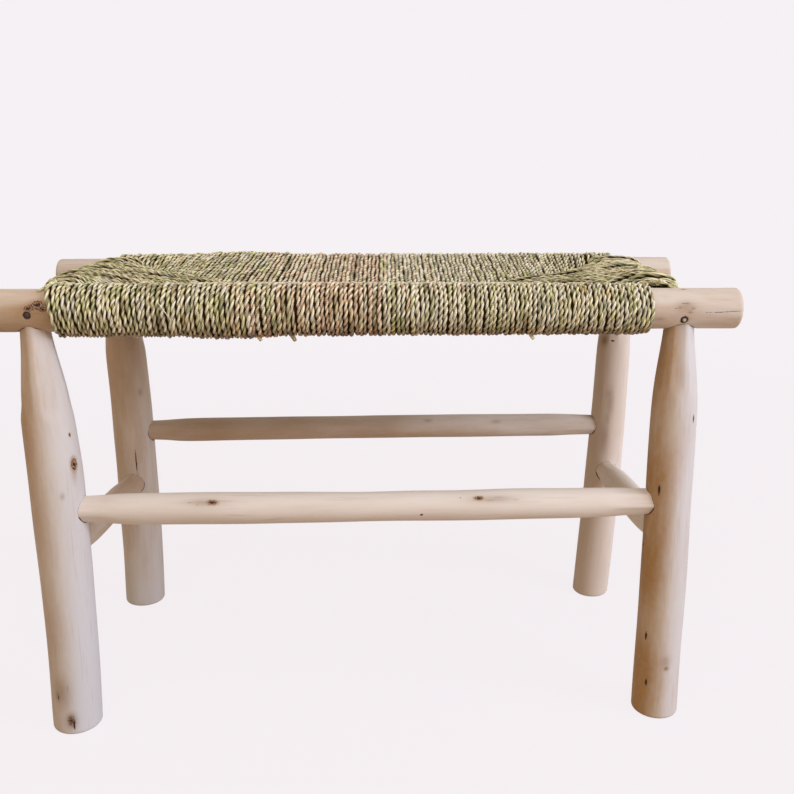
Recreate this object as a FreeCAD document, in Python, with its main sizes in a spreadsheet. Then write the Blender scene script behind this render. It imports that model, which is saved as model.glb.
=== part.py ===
"""Woven seat bench of peeled round poles, in millimetres.

Two long rails lie front and rear on four whittled legs, two short end rails
join them, and four stretchers brace the legs. Every joint is a round tenon in
a bored hole, and a peg locks each leg in its rail. The seat is twisted cord
wrapped round all four rails in the envelope pattern: four sections that meet
along diagonal seams and one seam down the middle.

X runs along the bench, the front faces -Y, Z is up, and the origin is on the
floor under the middle of the bench.
"""
import FreeCAD, Part
import math
import os
import re
import Sketcher

SIZES = {
    # seat frame: length, height and spacing of the two long rails, each sawn short at one end
    "bench_length": 750,
    "rail_height": 430,
    "rail_spacing": 275,
    "front_rail_right_short": 15.5,
    "rear_rail_left_short": 6.5,
    "front_rail_left_radius": 20,
    "front_rail_right_radius": 19,
    "rear_rail_left_radius": 19.5,
    "rear_rail_right_radius": 20,
    "rail_end_chamfer": 3,
    # end rails, set inboard of the legs and a little higher than the long rails
    "end_rail_inset": 26,
    "end_rail_rise": 6.5,
    "end_rail_radius": 13.5,
    "end_tenon_radius": 9,
    "end_tenon_stop": 2,
    # legs: rail left over outside each one, how far its foot stands from under its top, and its bow
    "front_left_overhang": 72.5,
    "front_left_foot_shift_x": 9.5,
    "front_left_foot_shift_y": -9,
    "front_left_bow": 6,
    "front_right_overhang": 54,
    "front_right_foot_shift_x": 7,
    "front_right_foot_shift_y": 8.5,
    "front_right_bow": 1,
    "rear_left_overhang": 68,
    "rear_left_foot_shift_x": 7.5,
    "rear_left_foot_shift_y": -5,
    "rear_left_bow": 4.5,
    "rear_right_overhang": 59.5,
    "rear_right_foot_shift_x": -11.5,
    "rear_right_foot_shift_y": 10,
    "rear_right_bow": 3.5,
    # leg heights, as drops below the rail's axis
    "leg_belly_drop": 160,
    "leg_taper_drop": 82,
    "leg_shoulder_drop": 21,
    "leg_tenon_rise": 5,
    "leg_shin_height": 110,
    "foot_chamfer": 2.5,
    # leg radii from the foot up: shin, belly, start of the taper, neck and tenon
    "front_left_foot_radius": 24,
    "front_left_shin_radius": 25,
    "front_left_belly_radius": 25.8,
    "front_left_taper_radius": 23.4,
    "front_left_neck_radius": 18.3,
    "front_left_tenon_radius": 14,
    "front_right_foot_radius": 23.5,
    "front_right_shin_radius": 22.8,
    "front_right_belly_radius": 22.4,
    "front_right_taper_radius": 21,
    "front_right_neck_radius": 18,
    "front_right_tenon_radius": 13.6,
    "rear_left_foot_radius": 24.8,
    "rear_left_shin_radius": 25.2,
    "rear_left_belly_radius": 24.7,
    "rear_left_taper_radius": 23.8,
    "rear_left_neck_radius": 18.8,
    "rear_left_tenon_radius": 13.8,
    "rear_right_foot_radius": 23,
    "rear_right_shin_radius": 22.8,
    "rear_right_belly_radius": 21.3,
    "rear_right_taper_radius": 20.1,
    "rear_right_neck_radius": 17.4,
    "rear_right_tenon_radius": 13.4,
    # stretchers: heights at both ends, bow at the middle, radii, tenons
    "front_stretcher_left_height": 234,
    "front_stretcher_right_height": 236,
    "front_stretcher_bow": -2,
    "front_stretcher_left_radius": 15.6,
    "front_stretcher_left_quarter_radius": 15.8,
    "front_stretcher_mid_radius": 14.5,
    "front_stretcher_right_quarter_radius": 15.3,
    "front_stretcher_right_radius": 14.7,
    "front_stretcher_tenon_radius": 12.6,
    "rear_stretcher_left_height": 232,
    "rear_stretcher_right_height": 235.5,
    "rear_stretcher_bow": 1,
    "rear_stretcher_left_radius": 14.9,
    "rear_stretcher_left_quarter_radius": 14.5,
    "rear_stretcher_mid_radius": 14.4,
    "rear_stretcher_right_quarter_radius": 14.6,
    "rear_stretcher_right_radius": 14.1,
    "rear_stretcher_tenon_radius": 12.2,
    "left_stretcher_front_height": 189,
    "left_stretcher_rear_height": 166,
    "left_stretcher_radius": 15.2,
    "left_stretcher_tenon_radius": 12.8,
    "right_stretcher_front_height": 196,
    "right_stretcher_rear_height": 176,
    "right_stretcher_radius": 16.2,
    "right_stretcher_tenon_radius": 13,
    "stretcher_tenon_past_axis": 6,
    "stretcher_neck_length": 40,
    "neck_stand_off": 1.5,
    # pegs through the rails into the leg tenons
    "peg_radius": 2.7,
    "left_peg_offset": 3.2,
    "left_peg_drop": 1.4,
    "right_peg_offset": 0.6,
    "right_peg_drop": 8.3,
    "peg_proud": 0.6,
    "peg_past_axis": 4,
    # seat weave: cord thickness, gaps to the legs, seam heights and places
    "cord_thickness": 5.6,
    "front_weave_left_gap": 8,
    "front_weave_right_gap": 17,
    "rear_weave_left_gap": 4,
    "rear_weave_right_gap": 4,
    "wedge_reach": 125,
    "seam_half_height": 9,
    "seam_gap": 0.4,
    "weave_trim": 12,
    # fits
    "joint_clearance": 0.25,
    "peg_clearance": 0.1,
    "weave_clearance": 0.3,
}

doc = FreeCAD.newDocument("woven_seat_bench")
sheet = doc.addObject("Spreadsheet::Sheet", "Sizes")
for row, (alias, number) in enumerate(SIZES.items(), start=1):
    sheet.set(f"A{row}", alias)
    sheet.set(f"B{row}", str(number))
    sheet.setAlias(f"B{row}", alias)
doc.recompute()

PLANES = {"X": "YZ_Plane", "Y": "XZ_Plane", "Z": "XY_Plane"}
ORIGIN = (-1, 1)
subparts = {}


def formula(text):
    """Write size names as references to the sheet."""
    return re.sub(r"[a-z][a-z_]+", lambda word: f"Sizes.{word[0]}" if word[0] in SIZES else word[0], text)


def bind(target, path, text):
    target.setExpression(path, formula(text))


def new_body(name):
    return doc.addObject("PartDesign::Body", name)


def attach(body, item, along, across, up, position):
    """Set a sketch or primitive square to an axis, at (across, up) and a position along that axis."""
    plane = next(feature for feature in body.Origin.OriginFeatures if feature.Role == PLANES[along])
    item.AttachmentSupport = (plane, [""])
    item.MapMode = "FlatFace"
    bind(item, "AttachmentOffset.Base.x", across)
    bind(item, "AttachmentOffset.Base.y", up)
    bind(item, "AttachmentOffset.Base.z", f"-1 * ({position})" if along == "Y" else position)


def new_sketch(body, name, *place):
    sketch = body.newObject("Sketcher::SketchObject", name)
    attach(body, sketch, *place)
    return sketch


def constrain(sketch, text, *parts):
    """Add a dimension and bind it to a formula of the sheet."""
    index = sketch.addConstraint(Sketcher.Constraint(*parts))
    bind(sketch, f"Constraints[{index}]", text)


# Poles

def round_section(body, name, along, station):
    """Cross-section of a pole: a circle at one station of its run."""
    position, across, up, radius = station
    sketch = new_sketch(body, name, along, across, up, position)
    start_radius = 10
    circle = sketch.addGeometry(Part.Circle(FreeCAD.Vector(), FreeCAD.Vector(0, 0, 1), start_radius))
    sketch.addConstraint(Sketcher.Constraint("Coincident", circle, 3, *ORIGIN))
    constrain(sketch, radius, "Radius", circle, start_radius)
    return sketch


def add_loft(body, name, along, stations):
    """Loft a round pole, or a stretch of one, straight from each station to the next."""
    sections = [round_section(body, f"{name}_{index}", along, station)
                for index, station in enumerate(stations)]
    loft = body.newObject("PartDesign::AdditiveLoft", name)
    loft.Profile = sections[0]
    loft.Sections = sections[1:]
    loft.Ruled = True


def add_round(body, name, along, run, clearance="0"):
    """Straight round run, such as a tenon, along an axis from its low to its high position."""
    low, high, across, up, radius = run
    cylinder = body.newObject("PartDesign::AdditiveCylinder", name)
    attach(body, cylinder, along, across, up, high if along == "Y" else low)
    bind(cylinder, "Radius", f"{radius} + {clearance}")
    bind(cylinder, "Height", f"{high} - ({low})")


def ease_sawn_ends(body, name, along, size, both_ends):
    """Chamfer the edge of the sawn face at the low end of a pole, or at both ends."""
    doc.recompute()
    axis = "XYZ".index(along)
    pole = body.Tip
    flats = sorted((face for face in pole.Shape.Faces if isinstance(face.Surface, Part.Plane)),
                   key=lambda face: face.CenterOfMass[axis])
    sawn = [flats[0], flats[-1]] if both_ends else [flats[0]]
    edges = [f"Edge{index}" for index, edge in enumerate(pole.Shape.Edges, start=1)
             if any(edge.isSame(rim) for face in sawn for rim in face.Edges)]
    chamfer = body.newObject("PartDesign::Chamfer", name)
    chamfer.Base = (pole, edges)
    bind(chamfer, "Size", size)


def bored_hole(name, along, tenon):
    """Hole for a tenon: the tenon's own run, wider all round by the joint's clearance."""
    body = new_body(name)
    add_round(body, f"{name}_run", along, tenon, "joint_clearance")
    return body


def cut_away(name, blank, tools):
    """Take every tool out of a blank and keep the result as the sub-part of that name."""
    result = blank
    for index, tool in enumerate(tools):
        cut = doc.addObject("Part::Cut", f"{name}_cut_{index}")
        cut.Base = result
        cut.Tool = tool
        result = cut
    keep(name, result)


def keep(name, result):
    result.Label = name
    subparts[name] = result


# Legs

LEGS = ("front_left", "front_right", "rear_left", "rear_right")


def rail_y(side):
    return "(rail_spacing / -2)" if side.startswith("front") else "(rail_spacing / 2)"


def rail_reach(side, end):
    """How far a long rail reaches to one end, from the bench's middle."""
    short = f"{side}_rail_{end}_short"
    return f"(bench_length / 2 - {short})" if short in SIZES else "(bench_length / 2)"


def leg_top_x(leg):
    """X of a leg's axis at the rail, set in from that end of the rail by its overhang."""
    side, end = leg.split("_")
    sign = "-1" if end == "left" else "1"
    return f"({sign} * ({rail_reach(side, end)} - {leg}_overhang))"


def leg_centre(leg, height):
    """Centre of a leg at a height: a straight lean from rail to foot, with a bow along X."""
    share = f"(({height}) / rail_height)"
    x = (f"({leg_top_x(leg)} + {leg}_foot_shift_x * (1 - {share})"
         f" + {leg}_bow * 4 * {share} * (1 - {share}))")
    y = f"({rail_y(leg)} + {leg}_foot_shift_y * (1 - {share}))"
    return x, y


def leg_station(leg, height, radius):
    return (height, *leg_centre(leg, height), f"{leg}_{radius}_radius")


def leg_tenon(leg):
    """Tenon that stands upright on the leg's shoulder and enters the rail from below."""
    shoulder = "rail_height - leg_shoulder_drop"
    return (shoulder, "rail_height + leg_tenon_rise", *leg_centre(leg, shoulder), f"{leg}_tenon_radius")


def leg_blank(leg):
    """Pole with its natural swell, whittled from the taper down to the tenon under the rail."""
    heights = {"foot": "0", "shin": "leg_shin_height",
               "belly": "rail_height - leg_belly_drop",
               "taper": "rail_height - leg_taper_drop",
               "neck": "rail_height - (leg_taper_drop + leg_shoulder_drop) / 2",
               "tenon": "rail_height - leg_shoulder_drop"}
    body = new_body(f"{leg}_leg_blank")
    add_loft(body, f"{leg}_leg_shaft", "Z", [leg_station(leg, heights[place], place) for place in heights])
    add_round(body, f"{leg}_leg_tenon", "Z", leg_tenon(leg))
    ease_sawn_ends(body, f"{leg}_foot_edge", "Z", "foot_chamfer", both_ends=False)
    return body


def leg_girth(leg):
    """Largest radius of the leg where stretchers meet it."""
    return f"max({leg}_shin_radius; {leg}_belly_radius)"


# Stretchers

class Stretcher:
    """Pole between two legs: a tenon, a whittled neck, the shaft, and the same again."""

    def __init__(self, name, along, legs, ends):
        self.name = name
        self.along = along
        self.legs = legs
        self.heights = [f"{name}_{end}_height" for end in ends]
        self.centres = [leg_centre(leg, height) for leg, height in zip(legs, self.heights)]

    def station(self, distance, radius):
        """Station at a distance from the first leg's axis, on the line between the two axes."""
        run, side = (0, 1) if self.along == "X" else (1, 0)
        first, second = self.centres
        share = f"(({distance}) / {self.span()})"
        position = f"{first[run]} + ({distance})"
        across = f"{first[side]} + ({second[side]} - {first[side]}) * {share}"
        up = f"{self.heights[0]} + ({self.heights[1]} - {self.heights[0]}) * {share}"
        if self.along == "X":
            up += f" + {self.name}_bow * 4 * {share} * (1 - {share})"
        return (position, across, up, radius)

    def span(self):
        run = 0 if self.along == "X" else 1
        return f"({self.centres[1][run]} - {self.centres[0][run]})"

    def neck(self, end, extra="0"):
        """Distance of a neck, just clear of the leg's surface, plus some way along the shaft."""
        inset = f"{leg_girth(self.legs[end])} + neck_stand_off + {extra}"
        return inset if end == 0 else f"{self.span()} - ({inset})"

    def shoulder(self, end):
        return self.station(self.neck(end), f"{self.name}_tenon_radius")

    def tenon(self, end):
        """Tenon from the shoulder to a little past the leg's axis, bored square into the leg."""
        past = "-stretcher_tenon_past_axis" if end == 0 else f"{self.span()} + stretcher_tenon_past_axis"
        place, across, up, radius = self.shoulder(end)
        tip = self.station(past, radius)[0]
        low, high = (tip, place) if end == 0 else (place, tip)
        return (low, high, across, up, radius)

    def radii(self):
        """Radii of the shaft at even steps from one shoulder to the other."""
        if self.along == "X":
            places = ("left", "left_quarter", "mid", "right_quarter", "right")
            return [f"{self.name}_{place}_radius" for place in places]
        return [f"{self.name}_radius"] * 2

    def build(self):
        radii = self.radii()
        last = len(radii) - 1
        start, stop = [self.neck(end, "stretcher_neck_length") for end in (0, 1)]
        steps = [f"{start} + ({stop} - ({start})) * {index} / {last}" for index in range(last + 1)]
        shaft = [self.station(step, radius) for step, radius in zip(steps, radii)]
        body = new_body(f"{self.name}_blank")
        add_loft(body, f"{self.name}_shaft", self.along, [self.shoulder(0), *shaft, self.shoulder(1)])
        for end in (0, 1):
            add_round(body, f"{self.name}_tenon_{end}", self.along, self.tenon(end))
        keep(self.name, body)

    def hole(self, leg):
        end = self.legs.index(leg)
        return bored_hole(f"{self.name}_hole_{end}", self.along, self.tenon(end))


STRETCHERS = [
    Stretcher("front_stretcher", "X", ("front_left", "front_right"), ("left", "right")),
    Stretcher("rear_stretcher", "X", ("rear_left", "rear_right"), ("left", "right")),
    Stretcher("left_stretcher", "Y", ("front_left", "rear_left"), ("front", "rear")),
    Stretcher("right_stretcher", "Y", ("front_right", "rear_right"), ("front", "rear"))]


# Rails

def rail_girth(side):
    return f"max({side}_rail_left_radius; {side}_rail_right_radius)"


def end_rail_x(end, side):
    """Axis of an end rail where it meets a long rail, inboard of the leg there."""
    return f"({leg_top_x(f'{side}_{end}')} {'+' if end == 'left' else '-'} end_rail_inset)"


def rail_blank(side):
    """Long rail: straight at both jointed ends, with the pole's slight taper between the end rails."""
    body = new_body(f"{side}_rail_blank")
    centre = (rail_y(side), "rail_height")
    start = f"({end_rail_x('left', side)} + end_rail_radius)"
    stop = f"({end_rail_x('right', side)} - end_rail_radius)"
    left_radius, right_radius = f"{side}_rail_left_radius", f"{side}_rail_right_radius"
    left_end, right_end = f"(-1 * {rail_reach(side, 'left')})", rail_reach(side, "right")
    add_round(body, f"{side}_rail_left_end", "X", (left_end, start, *centre, left_radius))
    middle = body.newObject("PartDesign::AdditiveCone", f"{side}_rail_middle")
    attach(body, middle, "X", *centre, start)
    bind(middle, "Radius1", left_radius)
    bind(middle, "Radius2", right_radius)
    bind(middle, "Height", f"{stop} - {start}")
    add_round(body, f"{side}_rail_right_end", "X", (stop, right_end, *centre, right_radius))
    ease_sawn_ends(body, f"{side}_rail_edges", "X", "rail_end_chamfer", both_ends=True)
    return body


def end_rail_station(end, y, radius):
    share = f"(({y}) / rail_spacing + 0.5)"
    front, rear = end_rail_x(end, "front"), end_rail_x(end, "rear")
    return (y, f"{front} + ({rear} - {front}) * {share}", "rail_height + end_rail_rise", radius)


def end_rail_neck(side):
    """Where an end rail's shoulder stands, just clear of the long rail."""
    sign = "-1" if side == "front" else "1"
    return f"{sign} * (rail_spacing / 2 - {rail_girth(side)} - neck_stand_off)"


def end_rail_tenon(end, side):
    """Tenon from an end rail's shoulder to just short of the long rail's axis."""
    place, across, up, radius = end_rail_station(end, end_rail_neck(side), "end_tenon_radius")
    tip = f"({'-1' if side == 'front' else '1'} * (rail_spacing / 2 - end_tenon_stop))"
    low, high = (tip, place) if side == "front" else (place, tip)
    return (low, high, across, up, radius)


def build_end_rail(end):
    """Short rail that carries the seat's end section, shouldered down to a tenon at both ends."""
    body = new_body(f"{end}_end_rail_blank")
    add_loft(body, f"{end}_end_rail_shaft", "Y",
             [end_rail_station(end, end_rail_neck(side), "end_rail_radius") for side in ("front", "rear")])
    for side in ("front", "rear"):
        add_round(body, f"{end}_end_rail_{side}_tenon", "Y", end_rail_tenon(end, side))
    keep(f"{end}_end_rail", body)


# Pegs

def peg(leg, name, clearance):
    """Peg driven from the outside of a rail into the leg's tenon, beside and below its axis."""
    side, end = leg.split("_")
    inward = 1 if side == "front" else -1
    to_middle = 1 if end == "left" else -1
    girth = f"{side}_rail_{end}_radius"
    drop = f"{end}_peg_drop"
    cylinder = doc.addObject("Part::Cylinder", name)
    depth = f"sqrt({girth} ^ 2 - {drop} ^ 2) + peg_proud"
    bind(cylinder, "Radius", f"peg_radius + {clearance}")
    bind(cylinder, "Height", f"{depth} + peg_past_axis + {clearance}")
    turn = FreeCAD.Rotation(FreeCAD.Vector(1, 0, 0), -90 * inward)
    cylinder.Placement = FreeCAD.Placement(FreeCAD.Vector(), turn)
    bind(cylinder, "Placement.Base.x", f"{leg_top_x(leg)} + {to_middle} * {end}_peg_offset")
    bind(cylinder, "Placement.Base.y", f"{rail_y(side)} - {inward} * ({depth})")
    bind(cylinder, "Placement.Base.z", f"rail_height - {drop}")
    return cylinder


# Seat weave

def teardrop_loop(sketch, radius, seam, top, bottom, guess):
    """Closed loop: an arc round the rail and two straight runs that leave it tangent to the seam.

    guess holds starting numbers for (radius, seam, top, bottom); the constraints set the real ones.
    """
    start_radius, start_seam, start_top, start_bottom = guess
    inwards = 1 if start_seam > 0 else -1

    def touch(height, way):
        """Angle of the point where a run from the seam's edge touches the arc."""
        lift = math.atan2(height, abs(start_seam))
        angle = lift + way * math.acos(start_radius / math.hypot(start_seam, height))
        return angle if inwards > 0 else math.pi - angle

    angles = [touch(start_top, 1), touch(start_bottom, -1) + 2 * math.pi * inwards]
    upper_end, lower_end = (1, 2) if inwards > 0 else (2, 1)
    circle = Part.Circle(FreeCAD.Vector(), FreeCAD.Vector(0, 0, 1), start_radius)
    arc = sketch.addGeometry(Part.ArcOfCircle(circle, min(angles), max(angles)))
    on_arc = [FreeCAD.Vector(math.cos(angle), math.sin(angle), 0) * start_radius for angle in angles]
    edge = [FreeCAD.Vector(start_seam, start_top, 0), FreeCAD.Vector(start_seam, start_bottom, 0)]
    upper = sketch.addGeometry(Part.LineSegment(on_arc[0], edge[0]))
    lower = sketch.addGeometry(Part.LineSegment(on_arc[1], edge[1]))
    close = sketch.addGeometry(Part.LineSegment(edge[0], edge[1]))
    sketch.addConstraint([
        Sketcher.Constraint("Coincident", arc, 3, *ORIGIN),
        Sketcher.Constraint("Tangent", arc, upper_end, upper, 1),
        Sketcher.Constraint("Tangent", arc, lower_end, lower, 1),
        Sketcher.Constraint("Coincident", upper, 2, close, 1),
        Sketcher.Constraint("Coincident", lower, 2, close, 2)])
    constrain(sketch, radius, "Radius", arc, start_radius)
    for line, height, start_height in ((upper, top, start_top), (lower, bottom, start_bottom)):
        constrain(sketch, seam, "DistanceX", *ORIGIN, line, 2, start_seam)
        constrain(sketch, height, "DistanceY", *ORIGIN, line, 2, start_height)


def wrapped_ring(name, along, place, girth, seam, rise, inwards, start, length):
    """Cord wrapped round one rail, in section a hollow teardrop, run along that rail."""
    body = new_body(name)
    sketch = new_sketch(body, f"{name}_section", along, *place, start)
    drop = f"- ({rise})"
    sign = "1" if inwards > 0 else "-1"
    bore = f"{girth} + weave_clearance"
    outer_guess = (26, 130 * inwards, 9, -9)
    inner_guess = (20, 124 * inwards, 3, -3)
    teardrop_loop(sketch, f"{bore} + cord_thickness", f"{sign} * ({seam})",
                  f"seam_half_height {drop}", f"-seam_half_height {drop}", outer_guess)
    teardrop_loop(sketch, bore, f"{sign} * ({seam} - cord_thickness)",
                  f"seam_half_height - cord_thickness {drop}", f"cord_thickness - seam_half_height {drop}",
                  inner_guess)
    pad = body.newObject("PartDesign::Pad", f"{name}_run")
    pad.Profile = sketch
    pad.Reversed = along == "Y"
    bind(pad, "Length", length)
    return body


def plan_prism(name, corners):
    """Upright prism over a seat section's outline in plan."""
    body = new_body(name)
    reach = f"(max({rail_girth('front')}; {rail_girth('rear')}) + cord_thickness + weave_trim)"
    sketch = new_sketch(body, f"{name}_outline", "Z", "0", "0", f"rail_height - {reach}")
    guess = [FreeCAD.Vector(*guess_at(corner), 0) for corner in corners]
    sides = [Part.LineSegment(guess[index - 1], corner) for index, corner in enumerate(guess)]
    lines = [sketch.addGeometry(side) for side in sides]
    for index, (x, y) in enumerate(corners):
        following = lines[(index + 1) % len(lines)]
        sketch.addConstraint(Sketcher.Constraint("Coincident", lines[index], 2, following, 1))
        constrain(sketch, x, "DistanceX", *ORIGIN, lines[index], 2, guess[index].x)
        constrain(sketch, y, "DistanceY", *ORIGIN, lines[index], 2, guess[index].y)
    pad = body.newObject("PartDesign::Pad", f"{name}_height")
    pad.Profile = sketch
    bind(pad, "Length", f"2 * {reach}")
    return body


def guess_at(corner):
    """Numbers that a pair of formulas gives, to draw the outline before it is constrained."""
    return [float(sheet.evalExpression(formula(text))) for text in corner]


def weave_end(side, end):
    """Where a front or rear section stops along its rail, a gap short of the leg's tenon."""
    sign = "+" if end == "left" else "-"
    leg = f"{side}_{end}"
    return f"({leg_top_x(leg)} {sign} ({leg}_tenon_radius + {side}_weave_{end}_gap))"


def wedge_tip(end):
    """X of the point where an end section's two seams meet on the bench's centre line."""
    sign = "+" if end == "left" else "-"
    return f"(({end_rail_x(end, 'front')} + {end_rail_x(end, 'rear')}) / 2 {sign} wedge_reach)"


def trimmed(name, ring, prism):
    common = doc.addObject("Part::Common", f"{name}_trimmed")
    common.Base = ring
    common.Tool = prism
    return common


def build_long_section(side):
    """Front or rear seat section: wrapped on a long rail and mitred to both end sections."""
    name = f"{side}_seat_weave"
    sign, inwards = ("-1", 1) if side == "front" else ("1", -1)
    left, right = weave_end(side, "left"), weave_end(side, "right")
    outer = f"{sign} * (rail_spacing / 2 + {rail_girth(side)} + cord_thickness + weave_trim)"
    axis = f"{sign} * rail_spacing / 2"
    middle = f"{sign} * seam_gap / 2"
    ring = wrapped_ring(f"{name}_ring", "X", (rail_y(side), "rail_height"), rail_girth(side),
                        "rail_spacing / 2 - seam_gap / 2", "0", inwards, left, f"{right} - {left}")
    corners = [(left, outer), (right, outer), (right, axis),
               (wedge_tip("right"), middle), (wedge_tip("left"), middle), (left, axis)]
    keep(name, trimmed(name, ring, plan_prism(f"{name}_plan", corners)))


def build_end_section(end):
    """Left or right seat section: a wedge wrapped on an end rail, cleared of the two long rails."""
    name = f"{end}_seat_weave"
    inwards = 1 if end == "left" else -1
    front, rear = end_rail_x(end, "front"), end_rail_x(end, "rear")
    ring = wrapped_ring(f"{name}_ring", "Y", ("0", "0"), "end_rail_radius", "wedge_reach", "end_rail_rise",
                        inwards, "-weave_trim", "rail_spacing + 2 * weave_trim")
    ring.Placement = FreeCAD.Placement(FreeCAD.Vector(), FreeCAD.Rotation(FreeCAD.Vector(0, 0, 1), 1))
    bind(ring, "Placement.Rotation.Angle", f"-atan(({rear} - {front}) / rail_spacing)")
    bind(ring, "Placement.Base.x", front)
    bind(ring, "Placement.Base.y", rail_y("front"))
    bind(ring, "Placement.Base.z", "rail_height + end_rail_rise")
    back = f"{-inwards} * seam_gap"
    outer = f"{-inwards} * (end_rail_radius + weave_clearance + cord_thickness + weave_trim)"
    corners = [(f"{weave_end('front', end)} + {back}", rail_y("front")),
               (f"{wedge_tip(end)} + {back}", "0"),
               (f"{weave_end('rear', end)} + {back}", rail_y("rear")),
               (f"{rear} + {outer}", rail_y("rear")),
               (f"{front} + {outer}", rail_y("front"))]
    wedge = trimmed(name, ring, plan_prism(f"{name}_plan", corners))
    cut_away(name, wedge, [rail_room(side, f"{name}_{side}_room") for side in ("front", "rear")])


def rail_room(side, name):
    """Space that a long rail needs inside an end section: the rail, wider by the weave's clearance."""
    cylinder = doc.addObject("Part::Cylinder", name)
    bind(cylinder, "Radius", f"{rail_girth(side)} + weave_clearance")
    bind(cylinder, "Height", f"{rail_reach(side, 'left')} + {rail_reach(side, 'right')}")
    cylinder.Placement = FreeCAD.Placement(FreeCAD.Vector(), FreeCAD.Rotation(FreeCAD.Vector(0, 1, 0), 90))
    bind(cylinder, "Placement.Base.x", f"-1 * {rail_reach(side, 'left')}")
    bind(cylinder, "Placement.Base.y", rail_y(side))
    bind(cylinder, "Placement.Base.z", "rail_height")
    return cylinder


# Assembly

peg_holes = {leg: peg(leg, f"{leg}_peg_hole", "peg_clearance") for leg in LEGS}
for leg in LEGS:
    holes = [item.hole(leg) for item in STRETCHERS if leg in item.legs]
    cut_away(f"{leg}_leg", leg_blank(leg), holes + [peg_holes[leg]])
    keep(f"{leg}_peg", peg(leg, f"{leg}_peg_solid", "0"))
for item in STRETCHERS:
    item.build()
for side in ("front", "rear"):
    legs = [leg for leg in LEGS if leg.startswith(side)]
    leg_holes = [bored_hole(f"{leg}_rail_hole", "Z", leg_tenon(leg)) for leg in legs]
    end_holes = [bored_hole(f"{side}_{end}_end_hole", "Y", end_rail_tenon(end, side))
                 for end in ("left", "right")]
    cut_away(f"{side}_rail", rail_blank(side), leg_holes + end_holes + [peg_holes[leg] for leg in legs])
    build_long_section(side)
for end in ("left", "right"):
    build_end_rail(end)
    build_end_section(end)
doc.recompute()

# Check and write

failed = [item.Label for item in doc.Objects if {"Invalid", "Error"} & set(item.State)]
if failed:
    raise SystemExit(f"failed objects: {failed}")
for name, item in subparts.items():
    if item.Shape.isNull() or not item.Shape.isValid():
        raise SystemExit(f"bad shape: {name}")
os.makedirs("parts", exist_ok=True)
for name, item in subparts.items():
    box = item.Shape.BoundBox
    item.Shape.exportStep(f"parts/{name}.step")
    print(f"{name}: {len(item.Shape.Solids)} solid, {item.Shape.Volume / 1000:.1f} cm3,"
          f" X {box.XMin:.1f} to {box.XMax:.1f}, Y {box.YMin:.1f} to {box.YMax:.1f},"
          f" Z {box.ZMin:.1f} to {box.ZMax:.1f}")
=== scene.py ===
# %% [markdown]
# # A woven seat bench
# Twelve peeled poles carry a seat of twisted palm cord. The CAD frame gives
# every pole's place and size, and this script gives the looks: poles with
# knife flats, knots and cracks, and a seat in which each cord is a real twisted
# strand that goes round its rail and back. Everything is in metres.

# %% Load the frame
import math
from collections import namedtuple

import bpy
import numpy as np
from mathutils import Euler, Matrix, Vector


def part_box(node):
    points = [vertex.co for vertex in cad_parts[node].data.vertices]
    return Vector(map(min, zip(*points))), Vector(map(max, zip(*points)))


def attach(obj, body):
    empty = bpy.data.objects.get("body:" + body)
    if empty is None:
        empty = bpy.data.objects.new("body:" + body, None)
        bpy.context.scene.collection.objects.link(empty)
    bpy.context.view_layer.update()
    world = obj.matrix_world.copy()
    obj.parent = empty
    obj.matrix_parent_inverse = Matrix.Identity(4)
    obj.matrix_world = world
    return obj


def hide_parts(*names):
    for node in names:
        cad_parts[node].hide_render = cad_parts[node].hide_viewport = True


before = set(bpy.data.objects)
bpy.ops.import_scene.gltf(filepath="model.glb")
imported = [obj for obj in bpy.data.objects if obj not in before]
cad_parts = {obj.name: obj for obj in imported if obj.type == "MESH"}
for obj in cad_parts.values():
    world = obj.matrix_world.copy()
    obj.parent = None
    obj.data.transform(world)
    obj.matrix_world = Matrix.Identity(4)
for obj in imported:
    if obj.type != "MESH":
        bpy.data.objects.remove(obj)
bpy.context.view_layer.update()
MM = 0.001

# %% [markdown]
# ## The camera
# A photograph is matched first, because marks on the wood are placed by where
# they show in it. The lens is worked out from the focal length in pixels: a
# sensor of 36 mm stands for the picture's whole width. The same numbers project
# any point to a pixel, so a mark can be found on a pole.

# %% Camera
PHOTO_SIDE = 794
FOCAL_PIXELS = 918
SENSOR = 36
CAMERA_PLACE = np.array((0.0275, -0.992, 0.565))
CAMERA_TURN = Euler([math.radians(angle) for angle in (75.56, 0.07, -0.78)])

camera_data = bpy.data.cameras.new("photo_camera")
camera_data.sensor_fit = "HORIZONTAL"
camera_data.sensor_width = SENSOR
camera_data.lens = SENSOR * FOCAL_PIXELS / PHOTO_SIDE
camera = bpy.data.objects.new("photo_camera", camera_data)
camera.location = CAMERA_PLACE
camera.rotation_euler = CAMERA_TURN
bpy.context.scene.collection.objects.link(camera)
bpy.context.scene.camera = camera


def photo_pixels(points):
    """Pixels at which points show: turn each into the camera's axes, then divide by its depth."""
    seen = (points - CAMERA_PLACE) @ np.array(CAMERA_TURN.to_matrix())
    scale = -FOCAL_PIXELS / seen[..., 2]
    half = PHOTO_SIDE / 2
    return np.stack((half + seen[..., 0] * scale, half - seen[..., 1] * scale), axis=-1)


print("lens in mm:", round(camera_data.lens, 2))

# %% [markdown]
# ## Meshes from arrays
# Every surface below is a grid: rows along a path and columns round it. A face
# joins four neighbours of the grid, so one array of corner numbers makes all the
# faces at once. Where a grid closes on itself, the last row is joined to the
# first, and an open tube closes in a fan round a tip point at each end. Each
# finished shape is closed, so the sign of its volume tells whether its faces
# look outwards, and they are turned round if they don't.

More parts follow.
